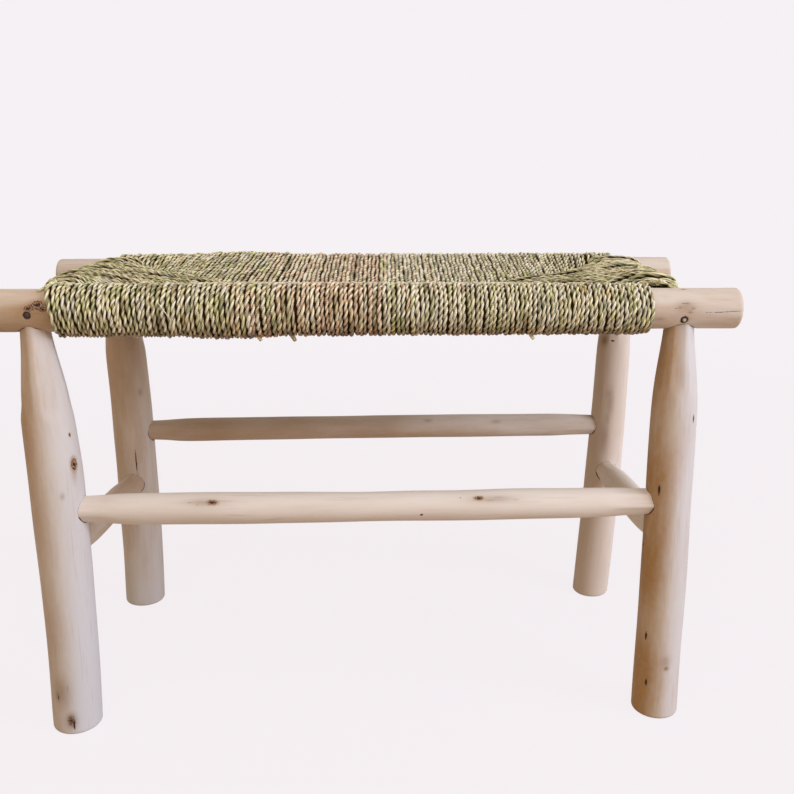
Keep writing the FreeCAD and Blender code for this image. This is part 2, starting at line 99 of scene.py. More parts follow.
# %% Mesh helpers
def grid_faces(rows, columns, closed_rows):
    """Quads of a grid whose columns close in a ring; its rows close too if asked."""
    row = np.arange(rows if closed_rows else rows - 1)[:, None]
    column = np.arange(columns)[None, :]
    next_row = (row + 1) % rows
    next_column = (column + 1) % columns
    corners = (row * columns + column, row * columns + next_column,
               next_row * columns + next_column, next_row * columns + column)
    shape = (len(row), columns)
    return np.stack([np.broadcast_to(corner, shape) for corner in corners], -1).reshape(-1, 4)


def capped_faces(rows, columns):
    """Faces of a tube with a fan at each end; its two tip points follow the points of the grid."""
    ring = np.arange(columns)
    following = (ring + 1) % columns
    last = (rows - 1) * columns
    tip = np.full(columns, rows * columns)
    fans = np.concatenate((np.stack((tip, following, ring), -1),
                           np.stack((tip + 1, last + ring, last + following), -1)))
    return [grid_faces(rows, columns, closed_rows=False), fans]


def face_outwards(points, face_sets):
    """Turn the faces round if the volume inside them, the sum of a . (b x c) / 6, is negative."""
    volume = 0
    for faces in face_sets:
        corners = points[faces]
        for step in range(1, faces.shape[1] - 1):
            volume += np.sum(corners[:, 0] * np.cross(corners[:, step], corners[:, step + 1]))
    return face_sets if volume > 0 else [faces[:, ::-1] for faces in face_sets]


def new_mesh(name, points, face_sets):
    """Mesh from an array of points and arrays of faces, each with one number of corners."""
    mesh = bpy.data.meshes.new(name)
    mesh.vertices.add(len(points))
    mesh.vertices.foreach_set("co", np.ascontiguousarray(points, np.float32).ravel())
    corners = np.concatenate([faces.ravel() for faces in face_sets]).astype(np.int32)
    sizes = np.concatenate([np.full(len(faces), faces.shape[1]) for faces in face_sets])
    mesh.loops.add(len(corners))
    mesh.loops.foreach_set("vertex_index", corners)
    mesh.polygons.add(len(sizes))
    mesh.polygons.foreach_set("loop_start", (np.cumsum(sizes) - sizes).astype(np.int32))
    mesh.polygons.foreach_set("use_smooth", np.ones(len(sizes), bool))
    mesh.update(calc_edges=True)
    return mesh


ATTRIBUTE_KINDS = {1: ("FLOAT", "value"), 3: ("FLOAT_VECTOR", "vector"), 4: ("FLOAT_COLOR", "color")}


def add_piece(name, points, face_sets, attributes, material, node):
    """Object that stands for a CAD node; attributes holds one number, vector or colour per point."""
    mesh = new_mesh(name, points, face_outwards(points, face_sets))
    for label, values in attributes.items():
        kind, field = ATTRIBUTE_KINDS[values.size // len(points)]
        layer = mesh.attributes.new(label, kind, "POINT")
        layer.data.foreach_set(field, np.ascontiguousarray(values, np.float32).ravel())
    mesh.materials.append(material)
    piece = bpy.data.objects.new(name, mesh)
    bpy.context.scene.collection.objects.link(piece)
    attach(piece, "root")
    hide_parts(node)
    return piece


def smooth_step(start, stop, values):
    """Rise from 0 at start to 1 at stop with level ends: 3t^2 - 2t^3."""
    share = np.clip((values - start) / (stop - start), 0, 1)
    return share * share * (3 - 2 * share)


def bell(values, middle, spread):
    """Bell curve of height 1."""
    return np.exp(-((values - middle) / spread) ** 2)


def unit(vectors):
    """The same directions with length 1."""
    return vectors / np.linalg.norm(vectors, axis=-1, keepdims=True)


# %% [markdown]
# ## Colours and nodes
# Colours are written as sRGB hex values, as a paint chart gives them, and one
# function turns them to the linear light that the renderer counts in. A second
# function adds a shader node: a socket given as an input is linked, and anything
# else is set as that input's value. It hands back one output, ready to be linked.

# %% Material helpers
def linear(colour):
    """Linear RGBA of an sRGB hex colour: c/12.92 below 0.04045, else ((c + 0.055)/1.055)^2.4."""
    share = np.array([int(colour[place:place + 2], 16) for place in (1, 3, 5)]) / 255
    light = np.where(share <= 0.04045, share / 12.92, ((share + 0.055) / 1.055) ** 2.4)
    return (*light.tolist(), 1.0)


def add_node(tree, kind, inputs, output=0, **settings):
    """Add a node, set its options, link or set its inputs by name or number, and return an output."""
    node = tree.nodes.new(kind)
    for option, value in settings.items():
        setattr(node, option, value)
    for socket, value in inputs.items():
        if isinstance(value, bpy.types.NodeSocket):
            tree.links.new(value, node.inputs[socket])
        else:
            node.inputs[socket].default_value = value
    return node.outputs[output] if node.outputs else None


def new_material(name):
    """Material with an empty node tree and its Principled shader already at the output."""
    material = bpy.data.materials.new(name)
    material.use_nodes = True
    tree = material.node_tree
    tree.nodes.clear()
    shader = tree.nodes.new("ShaderNodeBsdfPrincipled")
    add_node(tree, "ShaderNodeOutputMaterial", {"Surface": shader.outputs[0]})
    return material, tree, shader


MIX_A, MIX_B, MIX_RESULT = 6, 7, 2

# %% [markdown]
# ## Peeled pole wood
# The poles are young eucalyptus, peeled with a drawknife and left bare. Bare
# wood is matt and pale: cream where the knife took the skin clean, tan where
# inner bark was left, and a cool grey white where the sapwood bleached. The tan
# is partly painted shade as well: on most poles it is put on the side turned
# from the lamps. The pattern follows the attribute "grain", which holds each
# point's place in its own pole (along, and the two ways across), so streaks run
# with the pole. Knots and cracks are attributes too: each point's place from the
# middle of its nearest mark, counted in the mark's own half length and half
# width. Such a place changes evenly from point to point, so the shader can draw
# a crisp ring with it.

# %% Wood material
# Each noise has a length along the grain, a width across it and a number of finer layers
WOOD_NOISE = {"patches": (90 * MM, 15 * MM, 3), "streaks": (60 * MM, 2.6 * MM, 5),
              "fibres": (15 * MM, 0.7 * MM, 2), "mottle": (9 * MM, 5 * MM, 3),
              "specks": (1.6 * MM, 1.6 * MM, 2)}
NOISE_LOW, NOISE_HIGH = 0.3, 0.7
RING_WIDTH = 2.4 * MM
ROUGH_EDGE = 0.28
LOOSE_SHARE = 0.5
RIM_PLACE, RIM_HALF_WIDTH = 0.95, 0.15

WOOD_CREAM = "#dccfc2"
WOOD_WARM = "#cdb49d"
WOOD_STREAK = "#b3967c"
WOOD_TAN = "#b0885a"
WOOD_BLEACHED = "#d2d6e3"
WOOD_FRESH = "#f4ece7"
WOOD_RING = "#b0927a"
WOOD_STAIN = "#8a653f"
WOOD_CRACK = "#38221a"
KNOT_HALO = "#b7967b"
KNOT_RIM = "#5d4030"
KNOT_CORE = "#3a241b"

wood, tree, shader = new_material("peeled_eucalyptus")
grain = add_node(tree, "ShaderNodeAttribute", {}, "Vector", attribute_name="grain")
fields = {}
for label, (length, width, detail) in WOOD_NOISE.items():
    scales = (1 / length, 1 / width, 1 / width)
    place = add_node(tree, "ShaderNodeVectorMath", {0: grain, 1: scales}, operation="MULTIPLY")
    fields[label] = add_node(tree, "ShaderNodeTexNoise",
                             {"Vector": place, "Scale": 1, "Detail": detail, "Roughness": 0.6})
for label in ("tan", "bleach", "fresh", "stain", "sawn"):
    fields[label] = add_node(tree, "ShaderNodeAttribute", {}, "Fac", attribute_name=label)

wobble = add_node(tree, "ShaderNodeMapRange",
                  {0: fields["specks"], 1: NOISE_LOW, 2: NOISE_HIGH, 3: -ROUGH_EDGE, 4: ROUGH_EDGE})
for label in ("knot", "crack", "joint"):
    place = add_node(tree, "ShaderNodeAttribute", {}, "Vector", attribute_name=label)
    distance = add_node(tree, "ShaderNodeVectorMath", {0: place}, "Value", operation="LENGTH")
    fields[label] = add_node(tree, "ShaderNodeMath", {0: distance, 1: wobble}, operation="ADD")

loose_tan = add_node(tree, "ShaderNodeMath", {0: fields["patches"], 1: LOOSE_SHARE, 2: fields["tan"]},
                     operation="MULTIPLY_ADD")
loose_bleach = add_node(tree, "ShaderNodeMath", {0: fields["mottle"], 1: LOOSE_SHARE, 2: fields["bleach"]},
                        operation="MULTIPLY_ADD")
knot_rim = add_node(tree, "ShaderNodeMath", {0: fields["knot"], 1: RIM_PLACE, 2: RIM_HALF_WIDTH},
                    operation="COMPARE")
across = add_node(tree, "ShaderNodeVectorMath", {0: grain, 1: (0, 1, 1)}, operation="MULTIPLY")
radius = add_node(tree, "ShaderNodeVectorMath", {0: across}, "Value", operation="LENGTH")
turns = add_node(tree, "ShaderNodeMath", {0: radius, 1: 2 * math.pi / RING_WIDTH}, operation="MULTIPLY")
rings = add_node(tree, "ShaderNodeMath", {0: turns}, operation="SINE")
sawn_rings = add_node(tree, "ShaderNodeMath", {0: rings, 1: fields["sawn"]}, operation="MULTIPLY")

# Layers of colour from the bottom up: what to follow, where its layer starts and is full, its colour
layers = (
    (fields["patches"], 0.40, 0.68, WOOD_WARM),
    # Tan: partly inner bark, partly painted shade on the side turned from the lamps
    (loose_tan, 0.30, 1.25, WOOD_TAN),
    (loose_bleach, 0.25, 1.30, WOOD_BLEACHED),
    (fields["fresh"], 0.0, 1.0, WOOD_FRESH),
    (fields["streaks"], 0.58, 1.1, WOOD_STREAK),
    (fields["sawn"], 0.0, 1.0, WOOD_CREAM),
    (sawn_rings, 0.0, 1.2, WOOD_RING),
    (fields["stain"], 0.0, 1.0, WOOD_STAIN),
    (fields["knot"], 2.0, 1.0, KNOT_HALO),
    (knot_rim, 0.0, 1.0, KNOT_RIM),
    (fields["knot"], 0.64, 0.5, KNOT_CORE),
    (fields["crack"], 1.1, 0.6, WOOD_CRACK),
    (fields["joint"], 0.9, 0.3, WOOD_CRACK))
colour = linear(WOOD_CREAM)
for followed, start, full, tint in layers:
    share = add_node(tree, "ShaderNodeMapRange", {0: followed, 1: start, 2: full})
    colour = add_node(tree, "ShaderNodeMix", {0: share, MIX_A: colour, MIX_B: linear(tint)}, MIX_RESULT,
                      data_type="RGBA")
tree.links.new(colour, shader.inputs["Base Color"])
rough = add_node(tree, "ShaderNodeMapRange", {0: fields["streaks"], 1: 0.3, 2: 0.8, 3: 0.5, 4: 0.72})
tree.links.new(rough, shader.inputs["Roughness"])
shader.inputs["IOR"].default_value = 1.5
shader.inputs["Specular IOR Level"].default_value = 0.2
height = add_node(tree, "ShaderNodeMath", {0: fields["streaks"], 1: fields["fibres"]}, operation="ADD")
bump = add_node(tree, "ShaderNodeBump", {"Height": height, "Strength": 0.25, "Distance": 0.4 * MM})
tree.links.new(bump, shader.inputs["Normal"])
print("wood nodes:", len(tree.nodes))

# %% [markdown]
# ## Measuring the poles
# The frame holds each pole as triangles. A plane across the pole cuts its
# triangles in points that lie on a circle, and the circle's middle and radius
# are found by least squares. Points well inside the circle belong to bored holes
# and are left out when the circle is fitted again. A soft average along the pole
# then turns the CAD's straight runs into the slow curves of grown wood.

# %% Pole measures
AXES = {"X": 0, "Y": 1, "Z": 2}
SLICE_STEP = 5 * MM
END_MARGIN = 4.5 * MM
SOFTEN = 3
HOLE_SHARE = 0.97
FIT_ROUNDS = 4
LEAST_SLICES = 8

Axis = namedtuple("Axis", "along places middles radii")


def node_triangles(name):
    """Corners of a node's triangles, as an array of (triangle, corner, xyz)."""
    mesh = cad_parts[name].data
    mesh.calc_loop_triangles()
    places = np.empty(len(mesh.vertices) * 3)
    mesh.vertices.foreach_get("co", places)
    corners = np.empty(len(mesh.loop_triangles) * 3, int)
    mesh.loop_triangles.foreach_get("vertices", corners)
    return places.reshape(-1, 3)[corners].reshape(-1, 3, 3)


def section_circle(triangles, along, place):
    """Middle and radius of a pole's section: x^2 + y^2 = 2ax + 2by + c, solved for a, b and c."""
    starts = triangles.reshape(-1, 3)
    stops = np.roll(triangles, -1, axis=1).reshape(-1, 3)
    before = starts[:, along] - place
    after = stops[:, along] - place
    cut = before * after < 0
    share = (before[cut] / (before[cut] - after[cut]))[:, None]
    points = np.delete(starts[cut] + (stops[cut] - starts[cut]) * share, along, axis=1)
    kept = np.ones(len(points), bool)
    for _ in range(FIT_ROUNDS):
        x, y = points[kept].T
        terms = np.column_stack((2 * x, 2 * y, np.ones_like(x)))
        a, b, c = np.linalg.lstsq(terms, x * x + y * y, rcond=None)[0]
        radius = math.sqrt(c + a * a + b * b)
        kept = np.hypot(points[:, 0] - a, points[:, 1] - b) > HOLE_SHARE * radius
    return a, b, radius


def soften(values):
    """Average each value with its neighbours, weighted by a bell curve."""
    reach = 3 * SOFTEN
    weights = np.exp(-0.5 * (np.arange(-reach, reach + 1) / SOFTEN) ** 2)
    padded = np.pad(values, reach, mode="reflect", reflect_type="odd")
    return np.convolve(padded, weights / weights.sum(), mode="valid")


def measure_pole(name, along):
    """Softened middle line and radius of a node, sliced at even steps between its ends."""
    low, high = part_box(name)
    span = (low[along] + END_MARGIN, high[along] - END_MARGIN)
    places = np.linspace(*span, max(LEAST_SLICES, round((span[1] - span[0]) / SLICE_STEP)))
    triangles = node_triangles(name)
    circles = np.array([section_circle(triangles, along, place) for place in places])
    soft = np.stack([soften(column) for column in circles.T], axis=-1)
    return Axis(along, places, soft[:, :2], soft[:, 2])


def axis_at(axis, places):
    """Middle (two coordinates) and radius of a measured pole at places along it."""
    middles = [np.interp(places, axis.places, axis.middles[:, side]) for side in (0, 1)]
    return np.stack(middles, -1), np.interp(places, axis.places, axis.radii)


# %% Measure every pole and peg
LEGS = [f"{side}_{end}_leg" for side in ("front", "rear") for end in ("left", "right")]
PEGS = [leg.replace("_leg", "_peg") for leg in LEGS]
RAILS = ["front_rail", "rear_rail"]
END_RAILS = ["left_end_rail", "right_end_rail"]
LONG_STRETCHERS = ["front_stretcher", "rear_stretcher"]
SIDE_STRETCHERS = ["left_stretcher", "right_stretcher"]
GROUPS = {"X": RAILS + LONG_STRETCHERS, "Y": END_RAILS + SIDE_STRETCHERS, "Z": LEGS}
ALONG = {name: AXES[letter] for letter, names in GROUPS.items() for name in names}
axes = {name: measure_pole(name, along) for name, along in ALONG.items()}
for name, axis in axes.items():
    print(name, "radius in mm:", (axis.radii.min() / MM).round(1), "to", (axis.radii.max() / MM).round(1))
for name in PEGS:
    low, high = [np.array(corner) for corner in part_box(name)]
    middle = np.tile((low + high)[[0, 2]] / 2, (2, 1))
    axes[name] = Axis(AXES["Y"], np.array((low[1], high[1])), middle, np.full(2, (high[0] - low[0]) / 2))

# %% [markdown]
# ## Poles as surfaces
# A pole is a function of two parameters: the place along it and the angle round
# it. The radius starts from the measured one and then changes the way wood does:
# slow swellings (waves along the pole times waves round it), flats where the
# knife thinned it, a soft swelling at each knot, a groove at each crack and a
# narrow gap round each joint. A flat is a plane at some distance from the pole's
# middle line, so the radius there is distance / cos(angle from the flat).

# %% Pole surface
SWELL_WAVES = (0, 1, 2, 3, 2, 1)
SWELL_LENGTHS = (90, 260)
ANY_PHASE = 6.3
FLAT_COUNT = 7
FLAT_DEPTHS = (0.9, 0.97)
FLAT_JITTER = 0.3
FLAT_EDGE = 0.3
CAP_SHARES = (0.8, 0.6, 0.4, 0.2)
EDGE_STEPS = 6
HIDDEN_COARSER = 8


def pole_rows(low, high, step, hidden, edges):
    """Places along a pole, the inset of its radius there and the share of the radius left by a cap.

    An end's rounding is a quarter circle: the row at angle a lies e(1 - sin a) from the end, and its
    radius is less by e(1 - cos a). Caps are rows at the end itself that shrink to its middle.
    """
    start, stop = low + edges[0], high - edges[1]
    visible = [start, *hidden, stop]
    runs = []
    for index, (first, last) in enumerate(zip(visible[:-1], visible[1:])):
        size = step * HIDDEN_COARSER if hidden and index == 1 else step
        runs.append(np.linspace(first, last, max(2, round((last - first) / size)), endpoint=False))
    places = np.concatenate(runs + [[stop]])
    angles = np.linspace(0, math.pi / 2, EDGE_STEPS + 1)[1:]
    low_side = low + edges[0] * (1 - np.sin(angles))
    high_side = high - edges[1] * (1 - np.sin(angles))
    caps = np.array(CAP_SHARES)
    flat = np.ones(len(caps))
    inset = np.concatenate((flat * edges[0], (edges[0] * (1 - np.cos(angles)))[::-1], np.zeros(len(places)),
                            edges[1] * (1 - np.cos(angles)), flat * edges[1]))
    places = np.concatenate((flat * low, low_side[::-1], places, high_side, flat * high))
    share = np.concatenate((caps[::-1], np.ones(len(places) - 2 * len(caps)), caps))
    return places, inset, share


def swelling(rng, places, angles, size):
    """Slow unevenness: a sum of waves, each a wave along the pole times a wave round it."""
    total = np.zeros((len(places), len(angles)))
    for waves in SWELL_WAVES:
        length = rng.uniform(*SWELL_LENGTHS) * MM
        along = np.sin(2 * math.pi * places / length + rng.uniform(0, ANY_PHASE))
        total += np.outer(along, np.cos(waves * angles + rng.uniform(0, ANY_PHASE)))
    return total * size / (len(SWELL_WAVES) / 2)


def knife_flats(rng, radius, angles, strength):
    """Radius cut by flats: the nearest of planes at distance d and angle f, which is d / cos(angle - f)."""
    number = np.arange(FLAT_COUNT) + rng.uniform(-FLAT_JITTER, FLAT_JITTER, FLAT_COUNT)
    facing = number * 2 * math.pi / FLAT_COUNT
    depth = rng.uniform(*FLAT_DEPTHS, FLAT_COUNT)
    lean = np.cos(angles[:, None] - facing)
    reach = np.where(lean > FLAT_EDGE, depth / np.maximum(lean, FLAT_EDGE), np.inf).min(axis=1)
    return radius * (1 - strength[:, None] * (1 - np.minimum(reach, 1)[None, :]))


def pole_points(axis, places, angles, radius):
    """Surface points: the middle line plus the radius turned by each angle."""
    middles, _ = axis_at(axis, places)
    across = np.stack((middles[:, :1] + radius * np.cos(angles),
                       middles[:, 1:] + radius * np.sin(angles)), -1)
    return np.insert(across, axis.along, np.broadcast_to(places[:, None], radius.shape), axis=-1)


def outward_ways(angles, along):
    """Direction away from a pole's middle line at each angle round it."""
    return np.insert(np.stack((np.cos(angles), np.sin(angles)), -1), along, 0, axis=-1)


def find_mark(points, angles, along, pixel):
    """Row and column of the surface point that shows nearest to a pixel, on the side that is seen."""
    seen = np.sum(outward_ways(angles, along)[None] * (CAMERA_PLACE - points), axis=-1) > 0
    distance = np.linalg.norm(photo_pixels(points) - np.array(pixel), axis=-1)
    return np.unravel_index(np.argmin(np.where(seen, distance, np.inf)), distance.shape)


# %% [markdown]
# ## Marks on the wood
# Each mark is a knot, a crack, a line (a faint crack), or a stain, which is
# darker as smoke and darkest as a scar. It has its place in the photograph and
# its real length along the pole, width round it and depth, in millimetres. The
# sides that the photograph doesn't show get a few small marks at random, drawn
# from a seeded generator so that every run gives the same bench.

# %% Marks
Mark = namedtuple("Mark", "what kind pixel length width depth")
MARKS = {
    "front_left_leg": [
        Mark("open knot above the stretcher", "knot", (73.5, 464), 10, 6, 0.5),
        Mark("halo of that knot", "stain", (73.5, 470), 22, 7, 0),
        Mark("pin knot under the taper", "knot", (69, 434), 3.4, 2, 0.2),
        Mark("faint knot by the stretcher", "stain", (63, 497), 7, 4, 0),
        Mark("scar at the foot", "scar", (71.5, 721.5), 17, 10, 0.4),
        Mark("dark middle of that scar", "line", (71.5, 721.5), 17, 10, 0),
        Mark("split of that scar", "crack", (74.8, 725), 13, 2.4, 0.3),
        Mark("blotch at the foot", "smoke", (58, 696), 16, 9, 0),
        Mark("water stain at the foot", "stain", (62, 692), 34, 20, 0),
        Mark("line in the water stain", "crack", (67, 688), 8, 0.8, 0),
        Mark("lower line in the water stain", "crack", (59, 697), 4, 1.4, 0)],
    "front_right_leg": [
        Mark("slit by the stretcher", "crack", (658.7, 490), 12, 3.2, 0.4),
        Mark("slit above the foot", "crack", (645.7, 635), 10, 3, 0.4),
        Mark("lower slit", "crack", (646.3, 682.6), 9, 2.8, 0.4),
        Mark("middle slit", "crack", (643.5, 543.7), 6, 1.8, 0.3),
        Mark("edge slit", "crack", (693.5, 419), 9, 2.6, 0.3),
        Mark("grown-over knot", "stain", (665.7, 664), 16, 10, 0.5),
        Mark("lip of that knot", "scar", (666, 668.5), 5, 6, 0),
        Mark("fold of that knot", "crack", (665, 659), 4, 1, 0)],
    "rear_right_leg": [
        Mark("bark nick under the seat", "crack", (612.5, 341.5), 2.6, 5, 0.2),
        Mark("bark by the nick", "smoke", (604, 340), 14, 12, 0),
        Mark("upper stain", "stain", (609.6, 394), 14, 8, 0),
        Mark("lower stain", "stain", (607.5, 418), 26, 7, 0),
        Mark("streak between the stains", "stain", (610, 404), 44, 9, 0),
        Mark("long streak under the stains", "stain", (605, 437), 46, 11, 0)],
    "rear_left_leg": [
        Mark("faint knot", "stain", (140, 392), 9, 6, 0.2),
        Mark("drying crack over the stretcher", "crack", (135.7, 461), 32, 1.7, 0.5)],
    "front_stretcher": [
        Mark("left knot", "knot", (212, 503), 8, 4, 0.3),
        Mark("left knot's grain", "stain", (205, 503), 36, 7, 0),
        Mark("line before the left knot", "crack", (190, 503), 6, 0.8, 0),
        Mark("line beside the left knot", "crack", (198, 505), 4, 0.8, 0),
        Mark("right knot", "knot", (479, 498.5), 7, 3.6, 0.3),
        Mark("right knot's grain", "stain", (494, 499), 46, 8, 0),
        Mark("dot before the right knot", "crack", (461, 498), 2, 1.4, 0),
        Mark("line beside the right knot", "crack", (489, 500), 12, 0.8, 0),
        Mark("line after the right knot", "crack", (499, 497.5), 9, 0.6, 0),
        Mark("last line of the right knot", "crack", (516, 499.5), 8, 0.8, 0),
        Mark("speck", "crack", (422, 515), 3.5, 2.5, 0.1)],
    "rear_stretcher": [
        Mark("left nick", "stain", (428, 420), 10, 5, 0),
        Mark("right nick", "stain", (495, 422), 12, 5, 0)],
    "front_rail": [
        Mark("left swirl", "knot", (37.5, 305.5), 11, 7, 0.3),
        Mark("left swirl's tail", "knot", (28.5, 308.5), 8, 4.5, 0.2),
        Mark("left swirl's second tail", "knot", (43, 309), 6, 4, 0.2),
        Mark("left swirl's shade", "stain", (36, 308), 24, 12, 0),
        Mark("right smoke mark", "stain", (686, 306), 18, 11, 0.2),
        Mark("top of the smoke mark", "smoke", (687, 303.5), 7, 3.2, 0),
        Mark("left of the smoke mark", "smoke", (681, 307), 5, 3.6, 0),
        Mark("right of the smoke mark", "smoke", (692.5, 308), 5, 3, 0),
        Mark("bottom of the smoke mark", "smoke", (690, 312), 6, 2.6, 0),
        Mark("line in the smoke mark", "line", (684.5, 303), 7, 1.0, 0),
        Mark("lower line in the smoke mark", "line", (690, 310), 6, 1.0, 0),
        Mark("left line of the smoke mark", "line", (676, 308.5), 8, 0.9, 0),
        Mark("tan stroke by the cord", "stain", (659, 319), 10, 5, 0),
        Mark("check below the peg", "crack", (687.5, 327), 1.6, 7, 0.2),
        Mark("nick on top", "crack", (684, 289), 8, 1.6, 0.2),
        Mark("end crack", "line", (735, 311), 18, 1.1, 0.2),
        Mark("end crack's fine part", "line", (713, 312.5), 26, 0.9, 0)]}
print("marks placed by the photograph:", sum(len(marks) for marks in MARKS.values()))

# %% Painting the marks
STAIN_STRENGTHS = {"stain": 0.45, "smoke": 0.7, "scar": 0.95}
FAINT = 0.75
KNOT_SWELL, SWELL_REACH = 0.6, 3
MARK_REACH = 2.2
FAR = 9
UNSEEN_MARKS = 5
UNSEEN_MARGIN = 12
UNSEEN_SIZES = (4, 9)
UNSEEN_DEPTH = 0.3


def mark_place(places, angles, radius, centre, mark):
    """Place of each point from a mark's middle, in half lengths along the pole and half widths round it."""
    row, column = centre
    turn = (angles - angles[column] + math.pi) % (2 * math.pi) - math.pi
    along = (places - places[row]) / (mark.length * MM / 2)
    round_it = turn * radius[row].mean() / (mark.width * MM / 2)
    return np.stack(np.broadcast_arrays(along[:, None], round_it[None, :]), -1)


def nearest_place(shape, spots):
    """Each point's place in its nearest mark; a third number fades a mark, and is large away from all."""
    nearest = np.zeros((*shape, 3))
    nearest[..., 2] = FAR
    best = np.full(shape, MARK_REACH)
    for spot, faintness in spots:
        distance = np.linalg.norm(spot, axis=-1)
        nearer = distance < best
        nearest[nearer] = np.insert(spot[nearer], 2, faintness, axis=-1)
        best[nearer] = distance[nearer]
    return nearest


def unseen_marks(rng, points, angles, along):
    """Small marks at random on the side that the photograph doesn't show, with their rows and columns."""
    ways = outward_ways(angles, along)
    found = []
    for _ in range(UNSEEN_MARKS):
        row = rng.integers(UNSEEN_MARGIN, len(points) - UNSEEN_MARGIN)
        centre = (row, rng.integers(len(angles)))
        kind = ("knot", "stain", "crack")[rng.integers(3)]
        size = rng.uniform(*UNSEEN_SIZES)
        length, width = (3 * size, 0.2 * size) if kind == "crack" else (1.5 * size, size)
        if ways[centre[1]] @ (CAMERA_PLACE - points[centre]) < 0:
            found.append((centre, Mark("unseen", kind, None, length, width, UNSEEN_DEPTH)))
    return found


def paint_marks(name, rng, points, places, angles, radius):
    """Attributes that place a pole's knots, cracks and stains, and the relief that they give it."""
    along = ALONG[name]
    marks = [(find_mark(points, angles, along, mark.pixel), mark) for mark in MARKS.get(name, [])]
    marks += unseen_marks(rng, points, angles, along)
    spots = {"knot": [], "crack": []}
    relief = np.zeros(radius.shape)
    stain = np.zeros(radius.shape)
    for centre, mark in marks:
        spot = mark_place(places, angles, radius, centre, mark)
        distance = np.linalg.norm(spot, axis=-1)
        if mark.kind in STAIN_STRENGTHS:
            stain = np.maximum(stain, STAIN_STRENGTHS[mark.kind] * bell(distance, 0, 1))
        elif mark.kind == "line":
            spots["crack"].append((spot, FAINT))
        else:
            spots[mark.kind].append((spot, 0))
        relief -= mark.depth * MM * bell(distance, 0, 1)
        if mark.kind == "knot":
            relief += KNOT_SWELL * MM * bell(distance, 0, SWELL_REACH)
    values = {kind: nearest_place(radius.shape, found) for kind, found in spots.items()}
    values["stain"] = stain
    return values, relief


# %% [markdown]
# ## Building the poles
# Legs are fine meshes because they show whole. A rail is fine only at its two
# bare ends, since the cord hides its middle. Each pole is told which poles and
# pegs it receives, so that a thin dark gap can be left where they enter it; the
# gap shows mostly on the lower side, where shade gathers. Each pole also has its
# own tints: how far a tan side spreads, how far the rest is bleached, at both
# ends of the pole, and how freshly peeled it looks. The tan is partly inner bark
# and partly painted shade: on most poles it lies on the side turned from the lamps.

# %% Shapes and tints of the poles
# Each taper starts at a place along its pole, is full at another and has a strength
LEFT_TAPER, RIGHT_TAPER, REAR_TAPER = ((325, 345, 1.0),), ((345, 362, 1.0),), ((335, 360, 0.8),)
LONG_NECKS = ((-232, -258, 0.9), (240, 266, 0.9))
SIDE_NECKS = ((-75, -100, 0.9), (75, 100, 0.9))

Shape = namedtuple("Shape", "step columns edges swell flats seed")
SHAPES = {
    "front_rail": Shape(1.3, 128, (3.5, 3.5), 0.25, (), 11),
    "rear_rail": Shape(1.6, 112, (3.5, 3.5), 0.25, (), 12),
    "left_end_rail": Shape(4, 40, (0.5, 0.5), 0.2, (), 13),
    "right_end_rail": Shape(4, 40, (0.5, 0.5), 0.2, (), 14),
    "front_left_leg": Shape(1.6, 112, (3.5, 0.5), 0.45, LEFT_TAPER, 21),
    "front_right_leg": Shape(1.6, 112, (3.5, 0.5), 0.4, RIGHT_TAPER, 22),
    "rear_left_leg": Shape(2.0, 96, (3.5, 0.5), 0.4, REAR_TAPER, 23),
    "rear_right_leg": Shape(2.0, 96, (3.5, 0.5), 0.4, REAR_TAPER, 24),
    "front_stretcher": Shape(1.8, 88, (0.5, 0.5), 0.35, LONG_NECKS, 31),
    "rear_stretcher": Shape(2.4, 72, (0.5, 0.5), 0.35, LONG_NECKS, 32),
    "left_stretcher": Shape(2.4, 72, (0.5, 0.5), 0.3, SIDE_NECKS, 33),
    "right_stretcher": Shape(2.4, 72, (0.5, 0.5), 0.3, SIDE_NECKS, 34)}

# The tan side, set by tan_degrees, is partly inner bark and partly painted shade: on most poles it is turned
# from the lamps
Tint = namedtuple("Tint", "tan tan_degrees bleach fresh")
TINTS = {
    "front_rail": Tint((0.6, 0.12), 215, (0.0, 0.2), 0.0),
    "rear_rail": Tint((0.35, 0.35), 220, (0.3, 0.2), 0.1),
    "left_end_rail": Tint((0.3, 0.3), 200, (0.0, 0.0), 0.0),
    "right_end_rail": Tint((0.3, 0.3), 200, (0.0, 0.0), 0.0),
    "front_left_leg": Tint((0.5, 0.9), 195, (1.25, 0.4), 0.2),
    "front_right_leg": Tint((1.0, 0.75), 180, (0.55, 0.6), 0.0),
    "rear_left_leg": Tint((0.0, 1.1), 235, (0.7, 0.0), 0.2),
    "rear_right_leg": Tint((1.0, 1.45), 225, (0.0, 0.0), 0.65),
    "front_stretcher": Tint((0.1, 0.1), 250, (0.2, 0.2), 0.6),
    "rear_stretcher": Tint((0.9, 0.1), 180, (0.0, 0.3), 0.2),
    "left_stretcher": Tint((0.1, 1.1), 20, (0.3, 0.0), 0.2),
    "right_stretcher": Tint((0.6, 0.5), 200, (0.0, 0.0), 1.0)}
print("poles to build:", len(SHAPES))

# %% Joints
JOINT_SPREAD = 0.9 * MM
JOINT_DEPTH = 0.5 * MM
JOINT_FADE = 0.75
JOINT_TOP = (-0.6, 0.5)
PEG_RING = 1.7


def received_by(name):
    """Poles whose tenons enter this pole, and pegs that are driven into it."""
    if name in LEGS:
        side, end, _ = name.split("_")
        return [f"{side}_stretcher", f"{end}_stretcher"]
    if name in RAILS:
        return [guest for guest in LEGS + PEGS if guest.startswith(name.split("_")[0])]
    return []


